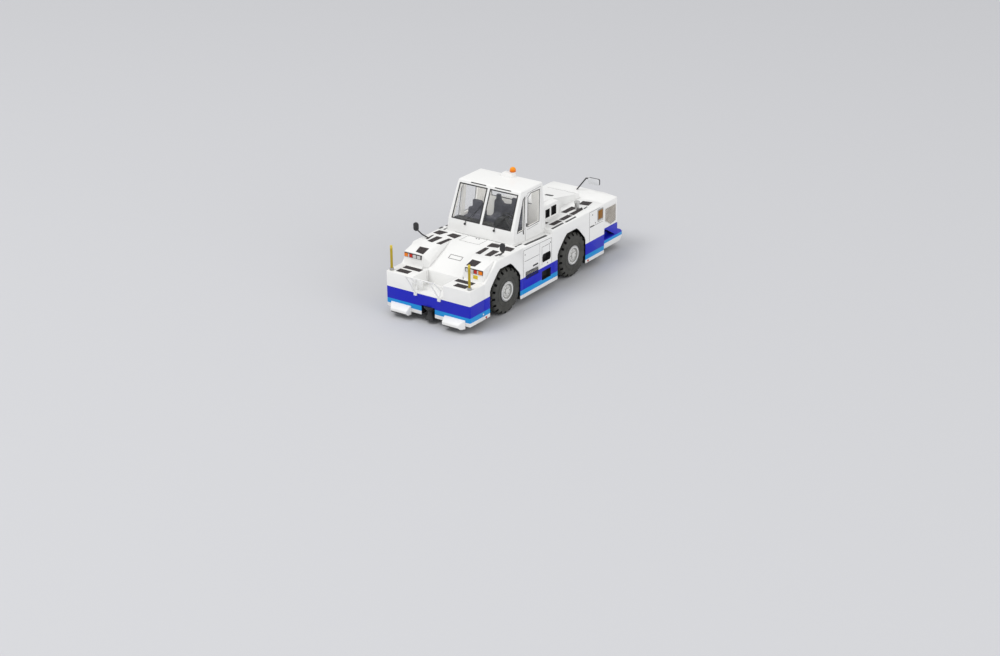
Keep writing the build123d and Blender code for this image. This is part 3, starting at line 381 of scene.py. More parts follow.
# Darker grey painted shade for the rings round the hub's boss and cap; the wheel nuts share it.
HUB_SHADE = moulded_plastic("hub_ring_painted_shade", (0.26, 0.26, 0.25), (0.36, 0.36, 0.345))
GLASS = glazing()
CLEAR = lens("clear_lens", (0.50, 0.50, 0.50), (0.78, 0.78, 0.77))
AMBER = lens("amber_lens", (0.80, 0.17, 0.004), (0.93, 0.26, 0.01))
RED = lens("red_lens", (0.45, 0.012, 0.006), (0.66, 0.03, 0.012))
BROWN = lens("brown_lens", (0.15, 0.055, 0.002), (0.27, 0.11, 0.005), 0.0)
BEACON = beacon_plastic()
POLE = pole_paint()
STEEL = brushed_steel("axle_steel", (0.50, 0.50, 0.51), 0.38)
SILVER = brushed_steel("cap_silver", (0.66, 0.66, 0.65), 0.42)
MIRROR_FACE = moulded_plastic("mirror_grey", (0.60, 0.61, 0.63), (0.70, 0.71, 0.73), 0.3)
GRILLE = moulded_plastic("grille_mesh", (0.62, 0.58, 0.52), (0.74, 0.70, 0.64))
GRILLE_BACK = moulded_plastic("grille_back", (0.26, 0.235, 0.21), (0.34, 0.31, 0.28))
YELLOW = plain_paint("yellow_patch", (0.72, 0.52, 0.03))
BLUE = plain_paint("deep_blue_paint", DEEP_BLUE)


# Modelling steps

# Usual height of a thin piece above its surface, depths that it is sunk into it, and softened edges
PROUD = 0.06
SUNK = 0.02
DEEPER = 0.03
THIN_EDGE = 0.02
FILM_EDGE = 0.03
ROUND_EDGE = 0.04
ROD_SIDES = 10


def choose(piece):
    """Makes a piece the only selected one and the active one."""
    bpy.ops.object.select_all(action="DESELECT")
    piece.select_set(True)
    bpy.context.view_layer.objects.active = piece


def new_piece():
    """The object that was just added, with its place and turn put into its mesh."""
    piece = bpy.context.active_object
    choose(piece)
    bpy.ops.object.transform_apply(location=True, rotation=True, scale=True)
    return piece


def edit(piece):
    """Starts an edit of the whole mesh."""
    choose(piece)
    bpy.ops.object.mode_set(mode="EDIT")
    bpy.ops.mesh.select_mode(type="FACE")
    bpy.ops.mesh.select_all(action="SELECT")


def done():
    bpy.ops.object.mode_set(mode="OBJECT")


def apply_modifier(piece, modifier):
    choose(piece)
    bpy.ops.object.modifier_apply(modifier=modifier.name)


def smooth(piece, angle=35):
    choose(piece)
    bpy.ops.object.shade_smooth_by_angle(angle=math.radians(angle))


def soften(piece, width, segments=2, angle=30):
    """Rounds the piece's sharp edges."""
    bevel = piece.modifiers.new("soft_edges", "BEVEL")
    bevel.width = width * MM
    bevel.segments = segments
    bevel.limit_method = "ANGLE"
    bevel.angle_limit = math.radians(angle)
    bevel.use_clamp_overlap = True
    apply_modifier(piece, bevel)
    smooth(piece)


def fit_out(piece, name, material, body="body"):
    """Names a finished piece, gives it its finish and puts it on its body."""
    piece.name = name
    piece.data.name = name
    piece.data.materials.clear()
    piece.data.materials.append(material)
    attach(piece, body)


def block(low, high):
    """A cube between two corners."""
    low, high = place(*low), place(*high)
    bpy.ops.mesh.primitive_cube_add(size=1, location=(low + high) / 2, scale=high - low)
    return new_piece()


def bar(start, end, normal, width, height=PROUD, sink=SUNK):
    """A flat bar laid on a surface from one point to another."""
    run = end - start
    across = normal.cross(run).normalized()
    rise = run.cross(across).normalized()
    turn = Matrix((run.normalized(), across, rise)).transposed()
    middle = (start + end) / 2 + rise * (height - sink) * MM / 2
    bpy.ops.mesh.primitive_cube_add(size=1, location=middle, rotation=turn.to_euler(),
                                    scale=(run.length, width * MM, (height + sink) * MM))
    return new_piece()


def rod_between(start, end, radius):
    """A round bar from one point to another."""
    run = end - start
    turn = run.to_track_quat("Z", "Y").to_euler()
    bpy.ops.mesh.primitive_cylinder_add(vertices=ROD_SIDES, radius=radius * MM, depth=run.length,
                                        location=(start + end) / 2, rotation=turn)
    return new_piece()


def faced(corners):
    """The middle and the normal of a convex outline, given in order as seen from outside."""
    middle = sum(corners, Vector()) / len(corners)
    normal = (corners[1] - corners[0]).cross(corners[2] - corners[1]).normalized()
    return middle, normal


def turn_to(across, normal):
    """The turn of a flat face that runs across and looks along the normal."""
    return Matrix((across, normal.cross(across), normal)).transposed().to_euler()


def trim(piece, corners, normal):
    """Cuts a flat piece to a convex outline."""
    for first, second in zip(corners, corners[1:] + corners[:1]):
        edit(piece)
        bpy.ops.mesh.bisect(plane_co=first, plane_no=(second - first).cross(normal), clear_outer=True,
                            threshold=WELD)
        done()


def sheet_of(corners):
    """A flat face with a convex outline, and its normal."""
    middle, normal = faced(corners)
    reach = max((corner - middle).length for corner in corners) * 4
    across = (corners[1] - corners[0]).normalized()
    bpy.ops.mesh.primitive_plane_add(size=reach, location=middle, rotation=turn_to(across, normal))
    piece = new_piece()
    trim(piece, corners, normal)
    return piece, normal


def rim_only(width):
    """Leaves a rim of the flat face that is being edited."""
    bpy.ops.mesh.inset(thickness=width * MM, depth=0)
    bpy.ops.mesh.delete(type="FACE")
    bpy.ops.mesh.select_all(action="SELECT")


def outward():
    """Ends the edit of a closed mesh with all its faces turned outwards."""
    bpy.ops.mesh.select_all(action="SELECT")
    bpy.ops.mesh.normals_make_consistent(inside=False)
    done()


def thicken(shift):
    """Gives the flat faces that are being edited a thickness."""
    bpy.ops.mesh.extrude_region_move(TRANSFORM_OT_translate={"value": shift})
    outward()


def slab(corners, height=PROUD, sink=SUNK):
    """A plate with a convex outline, standing proud of the surface it lies on."""
    piece, normal = sheet_of(corners)
    edit(piece)
    bpy.ops.transform.translate(value=-normal * sink * MM)
    thicken(normal * (height + sink) * MM)
    return piece


def window_frame(corners, width, height=PROUD, sink=DEEPER):
    """A thin frame round a convex outline."""
    piece, normal = sheet_of(corners)
    edit(piece)
    bpy.ops.transform.translate(value=-normal * sink * MM)
    rim_only(width)
    thicken(normal * (height + sink) * MM)
    return piece


def wire_mesh(corners, pitch, wire, height):
    """A turned net of wires cut to a convex outline, a little proud of what is behind it."""
    middle, normal = faced(corners)
    reach = max((corner - middle).length for corner in corners) * 2
    count = round(reach / (pitch * MM))
    turn = turn_to(Vector((0, 1, 1)).normalized(), normal)
    bpy.ops.mesh.primitive_grid_add(x_subdivisions=count, y_subdivisions=count, size=reach,
                                    location=middle, rotation=turn)
    net = new_piece()
    trim(net, corners, normal)
    edit(net)
    bpy.ops.transform.translate(value=normal * height * MM)
    done()
    wires = net.modifiers.new("wires", "WIREFRAME")
    wires.thickness = wire * MM
    wires.use_boundary = True
    wires.use_even_offset = False
    apply_modifier(net, wires)
    smooth(net)
    return net


def stud(middle, out, radius, height=PROUD, sides=12):
    """A round stud with a chamfered head, standing on a surface."""
    sink = 0.05
    chamfer_share = 0.25
    head_share = 0.3
    turn = out.to_track_quat("Z", "Y").to_euler()
    bpy.ops.mesh.primitive_circle_add(vertices=sides, radius=radius * MM, fill_type="NGON",
                                      location=middle - out * sink * MM, rotation=turn)
    piece = new_piece()
    edit(piece)
    bpy.ops.mesh.extrude_region_move(TRANSFORM_OT_translate={"value": out * (height + sink) * MM})
    bpy.ops.mesh.inset(thickness=radius * chamfer_share * MM, depth=height * head_share * MM)
    outward()
    smooth(piece)
    return piece


def joined(pieces):
    """Several meshes made one."""
    bpy.ops.object.select_all(action="DESELECT")
    for piece in pieces:
        piece.select_set(True)
    bpy.context.view_layer.objects.active = pieces[0]
    if len(pieces) > 1:
        bpy.ops.object.join()
    return pieces[0]


def copy_of(piece):
    """A copy with its own mesh."""
    other = piece.copy()
    other.data = piece.data.copy()
    bpy.context.scene.collection.objects.link(other)
    return other


def flip(piece):
    """Mirrors a piece to the tractor's other side."""
    piece.data.transform(Matrix.Diagonal((-1, 1, 1, 1)))
    piece.data.flip_normals()
    return piece


def flipped(pieces):
    """Mirrored copies of some pieces."""
    return [flip(copy_of(piece)) for piece in pieces]


def both_sides(pieces):
    return joined(pieces + flipped(pieces))


def clean_copy(node, whole_faces=True):
    """A copy of a CAD node with its corners merged, and its triangles made whole faces if asked."""
    piece = copy_of(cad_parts[node])
    piece.parent = None
    piece.matrix_world = Matrix.Identity(4)
    piece.hide_render = False
    choose(piece)
    if piece.data.has_custom_normals:
        bpy.ops.mesh.customdata_custom_splitnormals_clear()
    edit(piece)
    bpy.ops.mesh.remove_doubles(threshold=WELD)
    if whole_faces:
        bpy.ops.mesh.dissolve_limited(angle_limit=math.radians(0.5))
    done()
    return piece


def engrave(piece, cutters):
    """Cuts thin grooves into a piece, with a darker wash on their walls."""
    tool = joined(cutters)
    tool.data.materials.clear()
    tool.data.materials.append(LINE)
    cut = piece.modifiers.new("panel_lines", "BOOLEAN")
    cut.operation = "DIFFERENCE"
    cut.solver = "EXACT"
    cut.material_mode = "TRANSFER"
    cut.use_self = True
    cut.object = tool
    apply_modifier(piece, cut)
    bpy.data.objects.remove(tool)


def shell_of(node, width, material=BODY, body="body", segments=2, angle=30, cuts=None,
             whole_faces=True):
    """A CAD node's shape with softened edges, in place of the node."""
    piece = clean_copy(node, whole_faces)
    soften(piece, width, segments, angle)
    fit_out(piece, node + "_finished", material, body)
    if cuts:
        engrave(piece, cuts)
    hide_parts(node)
    return piece


def repaint(piece, material, test):
    """Gives a finish to the faces that a test picks by centre (x, station, z in mm) and normal."""
    piece.data.materials.append(material)
    index = len(piece.data.materials) - 1
    for face in piece.data.polygons:
        centre = Vector((face.center.x / MM, face.center.y / MM - BUMPER_FACE_Y, face.center.z / MM))
        if test(centre, face.normal):
            face.material_index = index


def refinish(node, material):
    """A better finish on a CAD node that keeps its shape."""
    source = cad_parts[node]
    source.data.materials.clear()
    source.data.materials.append(material)


# Places on the tractor's sloping surfaces, and the ways that these face

CAB_FOOT_X = 8.8
CAB_LEAN = 0.55
CAB_RISE = 10.5
SCREEN_STATION = 19.425
SCREEN_HEIGHT = 16.356
SCREEN_SLOPE = 0.435
HOOD_STATION = 32.44
HOOD_HEIGHT = 18.46
HOOD_SLOPE = 0.1862
POD_STATION = 5.8
POD_HEIGHT = 12.5
POD_SLOPE = 0.263
CAB_OUT = Vector((1, 0, 0.0524)).normalized()
GLASS_OUT = Vector((0, -0.917, 0.399)).normalized()
HOOD_UP = Vector((0, HOOD_SLOPE, 1)).normalized()


def on_top(points, z):
    return [place(x, station, z) for x, station in points]


def on_side(station, z, x=SIDE_X):
    return place(x, station, z)


def side_points(points, x=SIDE_X):
    return [on_side(station, z, x) for station, z in points]


def on_cab(station, z):
    return place(CAB_FOOT_X - CAB_LEAN * (z - DECK) / CAB_RISE, station, z)


def on_screen(x, z):
    return place(x, SCREEN_STATION + (z - SCREEN_HEIGHT) * SCREEN_SLOPE, z)


def on_hood(x, station):
    return place(x, station, HOOD_HEIGHT - HOOD_SLOPE * (station - HOOD_STATION))


def on_pod(x, station):
    return place(x, station, POD_HEIGHT + (station - POD_STATION) * POD_SLOPE)


def oblong(low, high):
    """The corners of a rectangle between two opposite ones."""
    return [low, (high[0], low[1]), high, (low[0], high[1])]


# Grooves: the cutters stand GROOVE_TOP above the surface

GROOVE_WIDTH = 0.09
NARROW_GROOVE = 0.07
GROOVE_DEPTH = 0.1
SIDE_GROOVE_DEPTH = 0.12
GROOVE_TOP = 0.2


def groove_run(places, out, width=GROOVE_WIDTH, depth=GROOVE_DEPTH):
    return [bar(first, second, out, width, GROOVE_TOP, depth) for first, second in zip(places, places[1:])]


def side_grooves(points, width=GROOVE_WIDTH):
    return groove_run(side_points(points), LEFT, width, SIDE_GROOVE_DEPTH)


# Tests for faces with another finish, many of them for near-black painted shade, by their centre (x,
# station, z) and normal

DOWNWARD = -0.7
ROOM_TOP = 11.45
ROOM_REACH = 6.3
ROOM_SHIFT = 0.4
ROOM_INNER_X = 6.5
SKIN_INNER_X = 10.0
SKIN_OUTER_X = 10.9
TYRE_RADII = (4.2, 4.6)
TYRE_INNER_X = 9.8


def from_below(centre, normal):
    return normal.z < DOWNWARD


def wheel_room(centre, normal):
    """Faces that bound the room for a tyre, behind the outer skin, and faces seen only from below."""
    beside = abs(centre.x)
    facing = normal.x * math.copysign(1, centre.x)
    behind_skin = ROOM_INNER_X < beside < SKIN_OUTER_X and (facing < 0.6 or beside < SKIN_INNER_X)
    near = min(abs(centre.y - middle - ROOM_SHIFT) for middle in (FRONT_ARCH, REAR_ARCH)) < ROOM_REACH
    return from_below(centre, normal) or near and centre.z < ROOM_TOP and behind_skin


def behind_box(centre, normal):
    return abs(centre.x) < 10.72 and centre.z < 10.0 or from_below(centre, normal)


def coupling_slot(centre, normal):
    in_slot = abs(centre.x) < 1.85 and 0.1 < centre.y < 3.5 and centre.z < 4.0
    return in_slot or from_below(centre, normal)


def shoe_sole(centre, normal):
    return normal.z < -0.5


def over_rear_wheels(centre, normal):
    return abs(centre.x) > 6.5 and centre.z < 13.0


def intake_mouth(centre, normal):
    return 35.5 < centre.y < 40.0 and 5.0 < centre.x < 5.98 and 14.0 < centre.z < 16.3


def rear_step_top(centre, normal):
    return normal.z > 0.8 and centre.z > 6.0


def cab_inside(centre, normal):
    """Faces of the cab's walls that look towards its middle."""
    inward = (Vector((0, 26, 18.5)) - centre).normalized()
    in_room = abs(centre.x) < 8.75 and 13.8 < centre.z < 24.1 and centre.y > 19.9
    return normal.dot(inward) > 0.25 and in_room


def mirror_glass(centre, normal):
    return abs(normal.y) > 0.95 and centre.z > 15.8 and centre.x > 3.7


def on_hub_rim(centre, normal):
    return abs(centre.x) > 10.6


def lug_notch(axle):
    """The walls and floors of the notches in a tyre's shoulder."""
    def test(centre, normal):
        arm = Vector((0, centre.y - axle, centre.z - AXLE_HEIGHT))
        wall = abs(normal.dot(LEFT.cross(arm).normalized())) > 0.5
        notch_floor = TYRE_RADII[0] < arm.length < TYRE_RADII[1] and normal.dot(arm) > 0.7 * arm.length
        return abs(centre.x) > TYRE_INNER_X and (wall or notch_floor)
    return test


# Wings, and the boxes between the wheels

rear_lines = side_grooves([(45.85, 6.5), (45.85, 13.4)])
rear_lines += side_grooves([(45.9, 13.38), (50.14, 13.35)])
rear_lines += side_grooves([(46.05, 9.82), (51.48, 9.71)])
box_lines = side_grooves([(19.72, 6.2), (19.72, 12.61), (30.51, 12.31), (30.6, 6.4)])
box_lines += side_grooves([(20.09, 9.96), (25.64, 9.9)])
box_lines += side_grooves([(25.95, 12.3), (25.95, 6.4)], NARROW_GROOVE)
box_lines += side_grooves([(26.8, 7.0), (26.8, 11.15), (29.73, 11.16), (29.74, 9.6)])
lines = {"left": (rear_lines, box_lines), "right": (flipped(rear_lines), flipped(box_lines))}
# Faces round the wheels, behind the outer skins and underneath get near-black painted shade.
for side, (wing_lines, locker_lines) in lines.items():
    repaint(shell_of("wing_front_" + side, 0.08, whole_faces=False), SHADE_BLACK, wheel_room)
    repaint(shell_of("wing_rear_" + side, 0.09, cuts=wing_lines), SHADE_BLACK, wheel_room)
    repaint(shell_of("side_box_" + side, 0.06, cuts=locker_lines), SHADE_BLACK, behind_box)

# Front bumper, shoes, decks, hood and the rear body

# Faces in the coupling slot, under the shoes, over the rear wheels, in the intake's mouth and underneath
# get near-black painted shade.
repaint(shell_of("front_bumper", 0.08), SHADE_BLACK, coupling_slot)
repaint(shell_of("bumper_shoes", 0.12, PLAIN_WHITE, segments=3), SHADE_BLACK, shoe_sole)
shell_of("recess_plate", 0.05, PLAIN_WHITE)
panel = on_top(oblong((-2.9, 15.5), (2.2, 18.8)), DECK)
shell_of("front_deck", 0.06, cuts=groove_run(panel + panel[:1], UP))
repaint(shell_of("rear_deck", 0.06), SHADE_BLACK, over_rear_wheels)
hood_lines = groove_run([on_hood(-3.9, 51.2), on_hood(3.9, 51.2)], HOOD_UP, width=0.14)
hood_lines += groove_run([on_hood(0.0, 33.2), on_hood(0.0, 41.5)], HOOD_UP, NARROW_GROOVE)
shell_of("engine_hood", 0.05, segments=3, cuts=hood_lines)
repaint(shell_of("air_intake", 0.07), SHADE_BLACK, intake_mouth)
back_panel = [place(x, 60.4, z) for x, z in oblong((-6.2, 7.6), (6.2, 12.0))]
shell_of("rear_body", 0.12, segments=3, cuts=groove_run(back_panel + back_panel[:1], REAR))
rear_step = shell_of("rear_bumper", 0.08, STEP_PAINT)
repaint(rear_step, BLUE, rear_step_top)
repaint(rear_step, SHADE_BLACK, from_below)

# Cab

DOOR = ((23.65, 13.2), (23.83, 16.1), (24.22, 22.31), (25.45, 23.52), (30.46, 23.65), (30.34, 17.08),
        (29.88, 13.7))
door_lines = groove_run([on_cab(*point) for point in DOOR], CAB_OUT, width=0.08)
door_lines += groove_run([on_cab(24.5, 15.45), on_cab(28.9, 15.6)], CAB_OUT, width=0.12)
right_door_lines = flipped(door_lines)
# The walls' inner faces get the lining with its painted glow.
for wall in (shell_of("cab_front", 0.07), shell_of("cab_side_left", 0.06, cuts=door_lines),
             shell_of("cab_side_right", 0.06, cuts=right_door_lines), shell_of("cab_rear", 0.07),
             shell_of("cab_roof", 0.09, segments=3)):
    repaint(wall, GLOWING_LINING, cab_inside)
shell_of("beacon_base", 0.06, PLAIN_WHITE, segments=3)

for node, material in (("windscreen", GLASS), ("side_glass", GLASS), ("rear_glass", GLASS),
                       ("chassis", UNDERFRAME), ("cab_floor", CABIN_FLOOR), ("dashboard", BLACK),
                       ("steering_wheel", BLACK), ("rear_grilles", GRILLE_BACK), ("lamp_bars", BLACK),
                       ("amber_lenses", AMBER), ("red_lenses", RED), ("clear_lenses", CLEAR),
                       ("front_axle", STEEL), ("rear_axle", STEEL)):
    refinish(node, material)

# The seats, with a filling cushion, made one rounded moulding
SEAT_FILLING = ((-0.7, 27.75, 13.9), (1.7, 28.6, 18.8))
seats = joined([clean_copy("seats"), block(*SEAT_FILLING)])
blend = seats.modifiers.new("moulded_whole", "REMESH")
blend.mode = "VOXEL"
blend.voxel_size = 0.16 * MM
apply_modifier(seats, blend)
relax = seats.modifiers.new("rounded", "SMOOTH")
relax.factor = 0.6
relax.iterations = 36
apply_modifier(seats, relax)
smooth(seats, 80)
fit_out(seats, "seats_finished", CABIN)
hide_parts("seats")

# Node, width and segments of its softened edges, the angle that counts as an edge, finish and slot
FITTINGS = (("beacon_lens", 0.03, 2, 50, BEACON, "amber_lens"),
            ("marker_poles", 0.08, 3, 50, POLE, "pole_paint"),
            ("pole_sockets", 0.08, 3, 50, GREY, "grey_plastic"),
            ("front_coupling", 0.06, 2, 40, BLACK, "black_plastic"),
            ("rear_coupling", 0.05, 2, 40, BLACK, "black_plastic"),
            ("hoop_guard", 0.02, 2, 60, PLAIN_WHITE, "body_paint"),
            ("deck_mirrors", 0.06, 2, 50, BLACK, "black_plastic"),
            ("rear_mirror", 0.09, 2, 50, BLACK, "black_plastic"),
            ("filler_neck", 0.06, 3, 50, SILVER, "grey_plastic"))
fittings = {node: shell_of(node, width, material, segments=segments, angle=angle)
            for node, width, segments, angle, material, slot in FITTINGS}
repaint(fittings["rear_mirror"], MIRROR_FACE, mirror_glass)


# Wheels: the tyres and hubs with soft edges, and the small rings, caps and nuts on them

RING_SIDES = 40
NUT_COUNT = 8
NUT_CIRCLE = 0.98
HUB_FACE_X = 10.46
# The rim gap ring is black, a painted shadow for the shaded gap between tyre and rim.
# Place along X, outer radius, inner radius and height of each ring
RIM_GAP_SHADOW = (10.56, 2.42, 2.2, 0.09)
RIM_LIP = (10.62, 2.2, 1.72, 0.08)
TYRE_BEAD = (10.57, 3.35, 3.2, 0.09)
BOSS_RING = (10.44, 1.42, 1.32, 0.08)
CAP_RING = (10.45, 0.72, 0.6, 0.06)


def wheel_ring(station, x, outer, inner, height):
    """A flat ring round an axle, facing left."""
    bpy.ops.mesh.primitive_circle_add(vertices=RING_SIDES, radius=outer * MM, fill_type="NGON",
                                      location=place(x, station, AXLE_HEIGHT), rotation=(0, math.pi / 2, 0))
    piece = new_piece()
    edit(piece)
    rim_only(outer - inner)
    thicken(LEFT * height * MM)
    soften(piece, FILM_EDGE, 1)
    return piece


def wheel_nut(axle, turn):
    along, up = NUT_CIRCLE * math.cos(turn), NUT_CIRCLE * math.sin(turn)
    return stud(place(HUB_FACE_X, axle + along, AXLE_HEIGHT + up), LEFT, radius=0.1, height=0.12, sides=6)


for end, body, axle in (("front", "front_wheels", FRONT_AXLE), ("rear", "rear_wheels", REAR_AXLE)):
    nuts = [wheel_nut(axle, math.tau * step / NUT_COUNT) for step in range(NUT_COUNT)]
    hub_face = place(HUB_FACE_X, axle, AXLE_HEIGHT)
    # The black rim gap ring is a painted shadow, and the darker boss and cap rings are painted shade.
    trims = {"rim_gap_shadow": (wheel_ring(axle, *RIM_GAP_SHADOW), BLACK, "black_plastic"),
             "rim_lip": (wheel_ring(axle, *RIM_LIP), HUB_RIM, "hub_plastic"),
             "tyre_bead": (wheel_ring(axle, *TYRE_BEAD), TYRE, "black_plastic"),
             "boss_ring": (wheel_ring(axle, *BOSS_RING), HUB_SHADE, "hub_plastic"),
             "hub_cap": (stud(hub_face, LEFT, radius=0.6, height=0.2, sides=32), HUB, "hub_plastic"),
             "cap_ring": (wheel_ring(axle, *CAP_RING), HUB_SHADE, "hub_plastic"),
             "wheel_nuts": (joined(nuts), HUB_SHADE, "hub_plastic")}
    for side in ("left", "right"):
        hub = shell_of(f"hub_{end}_{side}", 0.05, HUB, body, angle=50)
        repaint(hub, HUB_RIM, on_hub_rim)
        tyre = shell_of(f"tyre_{end}_{side}", 0.05, TYRE, body, segments=1, angle=40)
        # The notches' walls and floors get near-black painted shade.
        repaint(tyre, SHADE_BLACK, lug_notch(axle))
        for name, (piece, material, slot) in trims.items():
            part = copy_of(piece) if side == "left" else flip(piece)
            fit_out(part, f"{name}_{end}_{side}", material, body)

# Grip film on the decks, the bumper and the pods

DECK_FILM = ([(4.26, 15.61), (6.8, 16.26), (6.44, 18.02), (4.03, 17.86)],
             [(8.31, 15.69), (10.28, 15.96), (10.0, 17.88), (7.71, 17.93)],
             [(4.55, 11.0), (5.8, 11.0), (5.35, 14.9), (4.42, 14.9)],
             [(6.91, 11.06), (8.32, 11.23), (8.26, 14.6), (6.68, 14.59)],
             [(8.79, 12.07), (9.3, 11.89), (9.58, 14.56), (9.27, 15.01)])
BUMPER_FILM = (oblong((6.0, 0.95), (9.1, 2.6)), oblong((4.6, 3.3), (9.1, 4.7)))
REAR_FILM = ([(6.04, 41.75), (7.26, 41.85), (7.53, 46.11), (6.03, 46.13)],
             [(6.47, 48.34), (8.8, 48.72), (8.37, 51.1), (6.09, 50.61)],
             [(8.2, 33.6), (9.45, 33.75), (9.45, 37.2), (8.2, 37.0)],
             [(8.2, 37.5), (9.45, 37.65), (9.45, 41.3), (8.2, 41.1)],
             [(8.2, 41.6), (9.45, 41.75), (9.2, 45.9), (8.2, 47.0)],
             oblong((6.7, 32.8), (7.5, 34.6)))
POD_FILM = ((5.65, 6.1), (7.8, 6.35), (8.1, 8.3), (5.7, 8.4))
film = [slab(on_top(points, height))
        for outlines, height in ((DECK_FILM, DECK), (BUMPER_FILM, BUMPER_TOP), (REAR_FILM, REAR_DECK))
        for points in outlines]
film = both_sides(film + [slab([on_pod(*point) for point in POD_FILM])])
soften(film, FILM_EDGE, 1)
fit_out(film, "deck_grip_film", GRIP)

# Dark slots and lines on the decks, the sides and the cab

# Two ends, width and depth below the surface
DECK_DASHES = (((9.1, 46.5, REAR_DECK), (8.9, 48.0, REAR_DECK), 0.3, SUNK),
               ((10.3, 31.7, REAR_DECK), (10.25, 36.2, REAR_DECK), 0.5, SUNK),
               ((10.45, 36.9, REAR_DECK), (10.4, 41.1, REAR_DECK), 0.46, SUNK),
               ((9.47, 18.8, DECK), (9.47, 19.5, DECK), 0.36, DEEPER),
               ((9.47, 19.75, 13.49), (9.47, 21.3, 13.42), 0.36, DEEPER),
               ((10.42, 21.0, 13.43), (10.46, 29.3, 13.03), 0.62, DEEPER))
HEADER_LINES = ((-4.84, -0.85), (1.52, 5.71))
HEADER_STATION = 22.78
HEADER_HEIGHT = 24.2
dashes = [bar(place(*start), place(*stop), UP, width, PROUD, sink)
          for start, stop, width, sink in DECK_DASHES]
dashes += [bar(on_side(23.33, 8.0), on_side(25.26, 8.0), LEFT, width=0.36),
           bar(on_side(46.1, 9.86), on_side(47.71, 9.82), LEFT, width=0.26),
           bar(on_cab(23.0, 14.9), on_cab(23.0, 15.7), CAB_OUT, width=0.25, height=0.08)]
dashes = both_sides(dashes)
header = [bar(place(low, HEADER_STATION, HEADER_HEIGHT), place(high, HEADER_STATION, HEADER_HEIGHT),
              FRONT, 0.2, PROUD, DEEPER) for low, high in HEADER_LINES]
hood_slot = bar(on_hood(0.9, 43.2), on_hood(2.6, 43.6), HOOD_UP, width=1.2, height=0.08)
right_slot = bar(place(-10.7, 18.8, DECK), place(-10.7, 20.0, 13.49), UP, width=0.5, height=0.05)
slots = joined([dashes] + header + [hood_slot, right_slot])
soften(slots, THIN_EDGE, 1)
fit_out(slots, "dark_slots", BLACK)

# Rubber round the panes of the cab

PANES = ([(0.33, 16.45), (7.85, 16.45), (7.7, 23.75), (0.33, 23.75)],
         [(-7.85, 16.45), (-0.33, 16.45), (-0.33, 23.75), (-7.7, 23.75)])
SIDE_PANES = ([(20.7, 15.71), (23.31, 15.76), (24.29, 23.11), (23.48, 22.53)],
              [(24.68, 16.0), (29.15, 16.0), (30.0, 23.15), (26.5, 23.3), (25.3, 22.6)])
REAR_PANE = ((5.5, 18.6), (-5.5, 18.6), (-5.5, 22.9), (5.5, 22.9))
REAR_WALL_STATION = 31.6
REAR_WALL_LEAN = 0.0488
SEAL = 0.05
screen_seals = [window_frame([on_screen(*corner) for corner in pane], width=0.26) for pane in PANES]
side_seals = [window_frame([on_cab(*corner) for corner in pane], width=0.12, height=SEAL)
              for pane in SIDE_PANES]
rear_corners = [place(x, REAR_WALL_STATION - (z - REAR_DECK) * REAR_WALL_LEAN, z) for x, z in REAR_PANE]
rear_seal = window_frame(rear_corners, width=0.14, height=SEAL, sink=PROUD)
pane_rubber = joined(screen_seals + [both_sides(side_seals), rear_seal])
soften(pane_rubber, THIN_EDGE, 1)
fit_out(pane_rubber, "pane_rubber", BLACK)


# Wipers: a foot below the screen, an arm bent at its knee and a blade on the glass

WIPER_STATION = 19.36
WIPER_FOOT = 15.82
KNEE_HEIGHT = 16.5
BLADE_FOOT = 17.6
BLADE_MIDDLE = 19.3
BLADE_TOP = 20.2


def wiper(pivot_x, tip_x):
    foot = place(pivot_x, WIPER_STATION, WIPER_FOOT)
    arm_start = foot - UP * 0.02 * MM + FRONT * 0.12 * MM
    knee = on_screen(pivot_x + 0.2, KNEE_HEIGHT) + GLASS_OUT * 0.2 * MM
    tip = on_screen(tip_x, BLADE_MIDDLE) + GLASS_OUT * 0.14 * MM
    blade = bar(on_screen(tip_x - 1.2, BLADE_FOOT), on_screen(tip_x + 0.5, BLADE_TOP), GLASS_OUT,
                width=0.12, height=0.16, sink=-0.02)
    return [stud(foot, FRONT, radius=0.26, height=0.22), rod_between(arm_start, knee, radius=0.07),
            rod_between(knee, tip, radius=0.06), blade]


wipers = joined(wiper(-4.11, -1.3) + wiper(3.6, 6.2))
soften(wipers, THIN_EDGE, 1)
fit_out(wipers, "wipers", BLACK)

# Mesh over the rear grilles and the vents of the side boxes

GRILLE_EDGE = [(55.2, 8.15), (57.7, 6.6), (59.85, 6.95), (59.85, 11.15), (55.2, 11.15)]
VENT_EDGE = [(20.55, 5.8), (25.45, 5.8), (25.45, 7.05), (20.55, 7.3)]
grille_net = both_sides([wire_mesh(side_points(GRILLE_EDGE, 9.1), pitch=0.42, wire=0.11, height=0.04)])
fit_out(grille_net, "rear_grille_mesh", GRILLE)
grille_rim = both_sides([window_frame(side_points(GRILLE_EDGE, 9.17), width=0.1, height=0.07, sink=0.05)])
soften(grille_rim, THIN_EDGE, 1)
fit_out(grille_rim, "rear_grille_rim", PLAIN_WHITE)
vent_net = both_sides([wire_mesh(side_points(VENT_EDGE, 10.9), pitch=0.34, wire=0.1, height=0.0)])
fit_out(vent_net, "box_vent_mesh", UNDERFRAME)

# Side lamps, reflectors, screw heads and the bumper's eyes

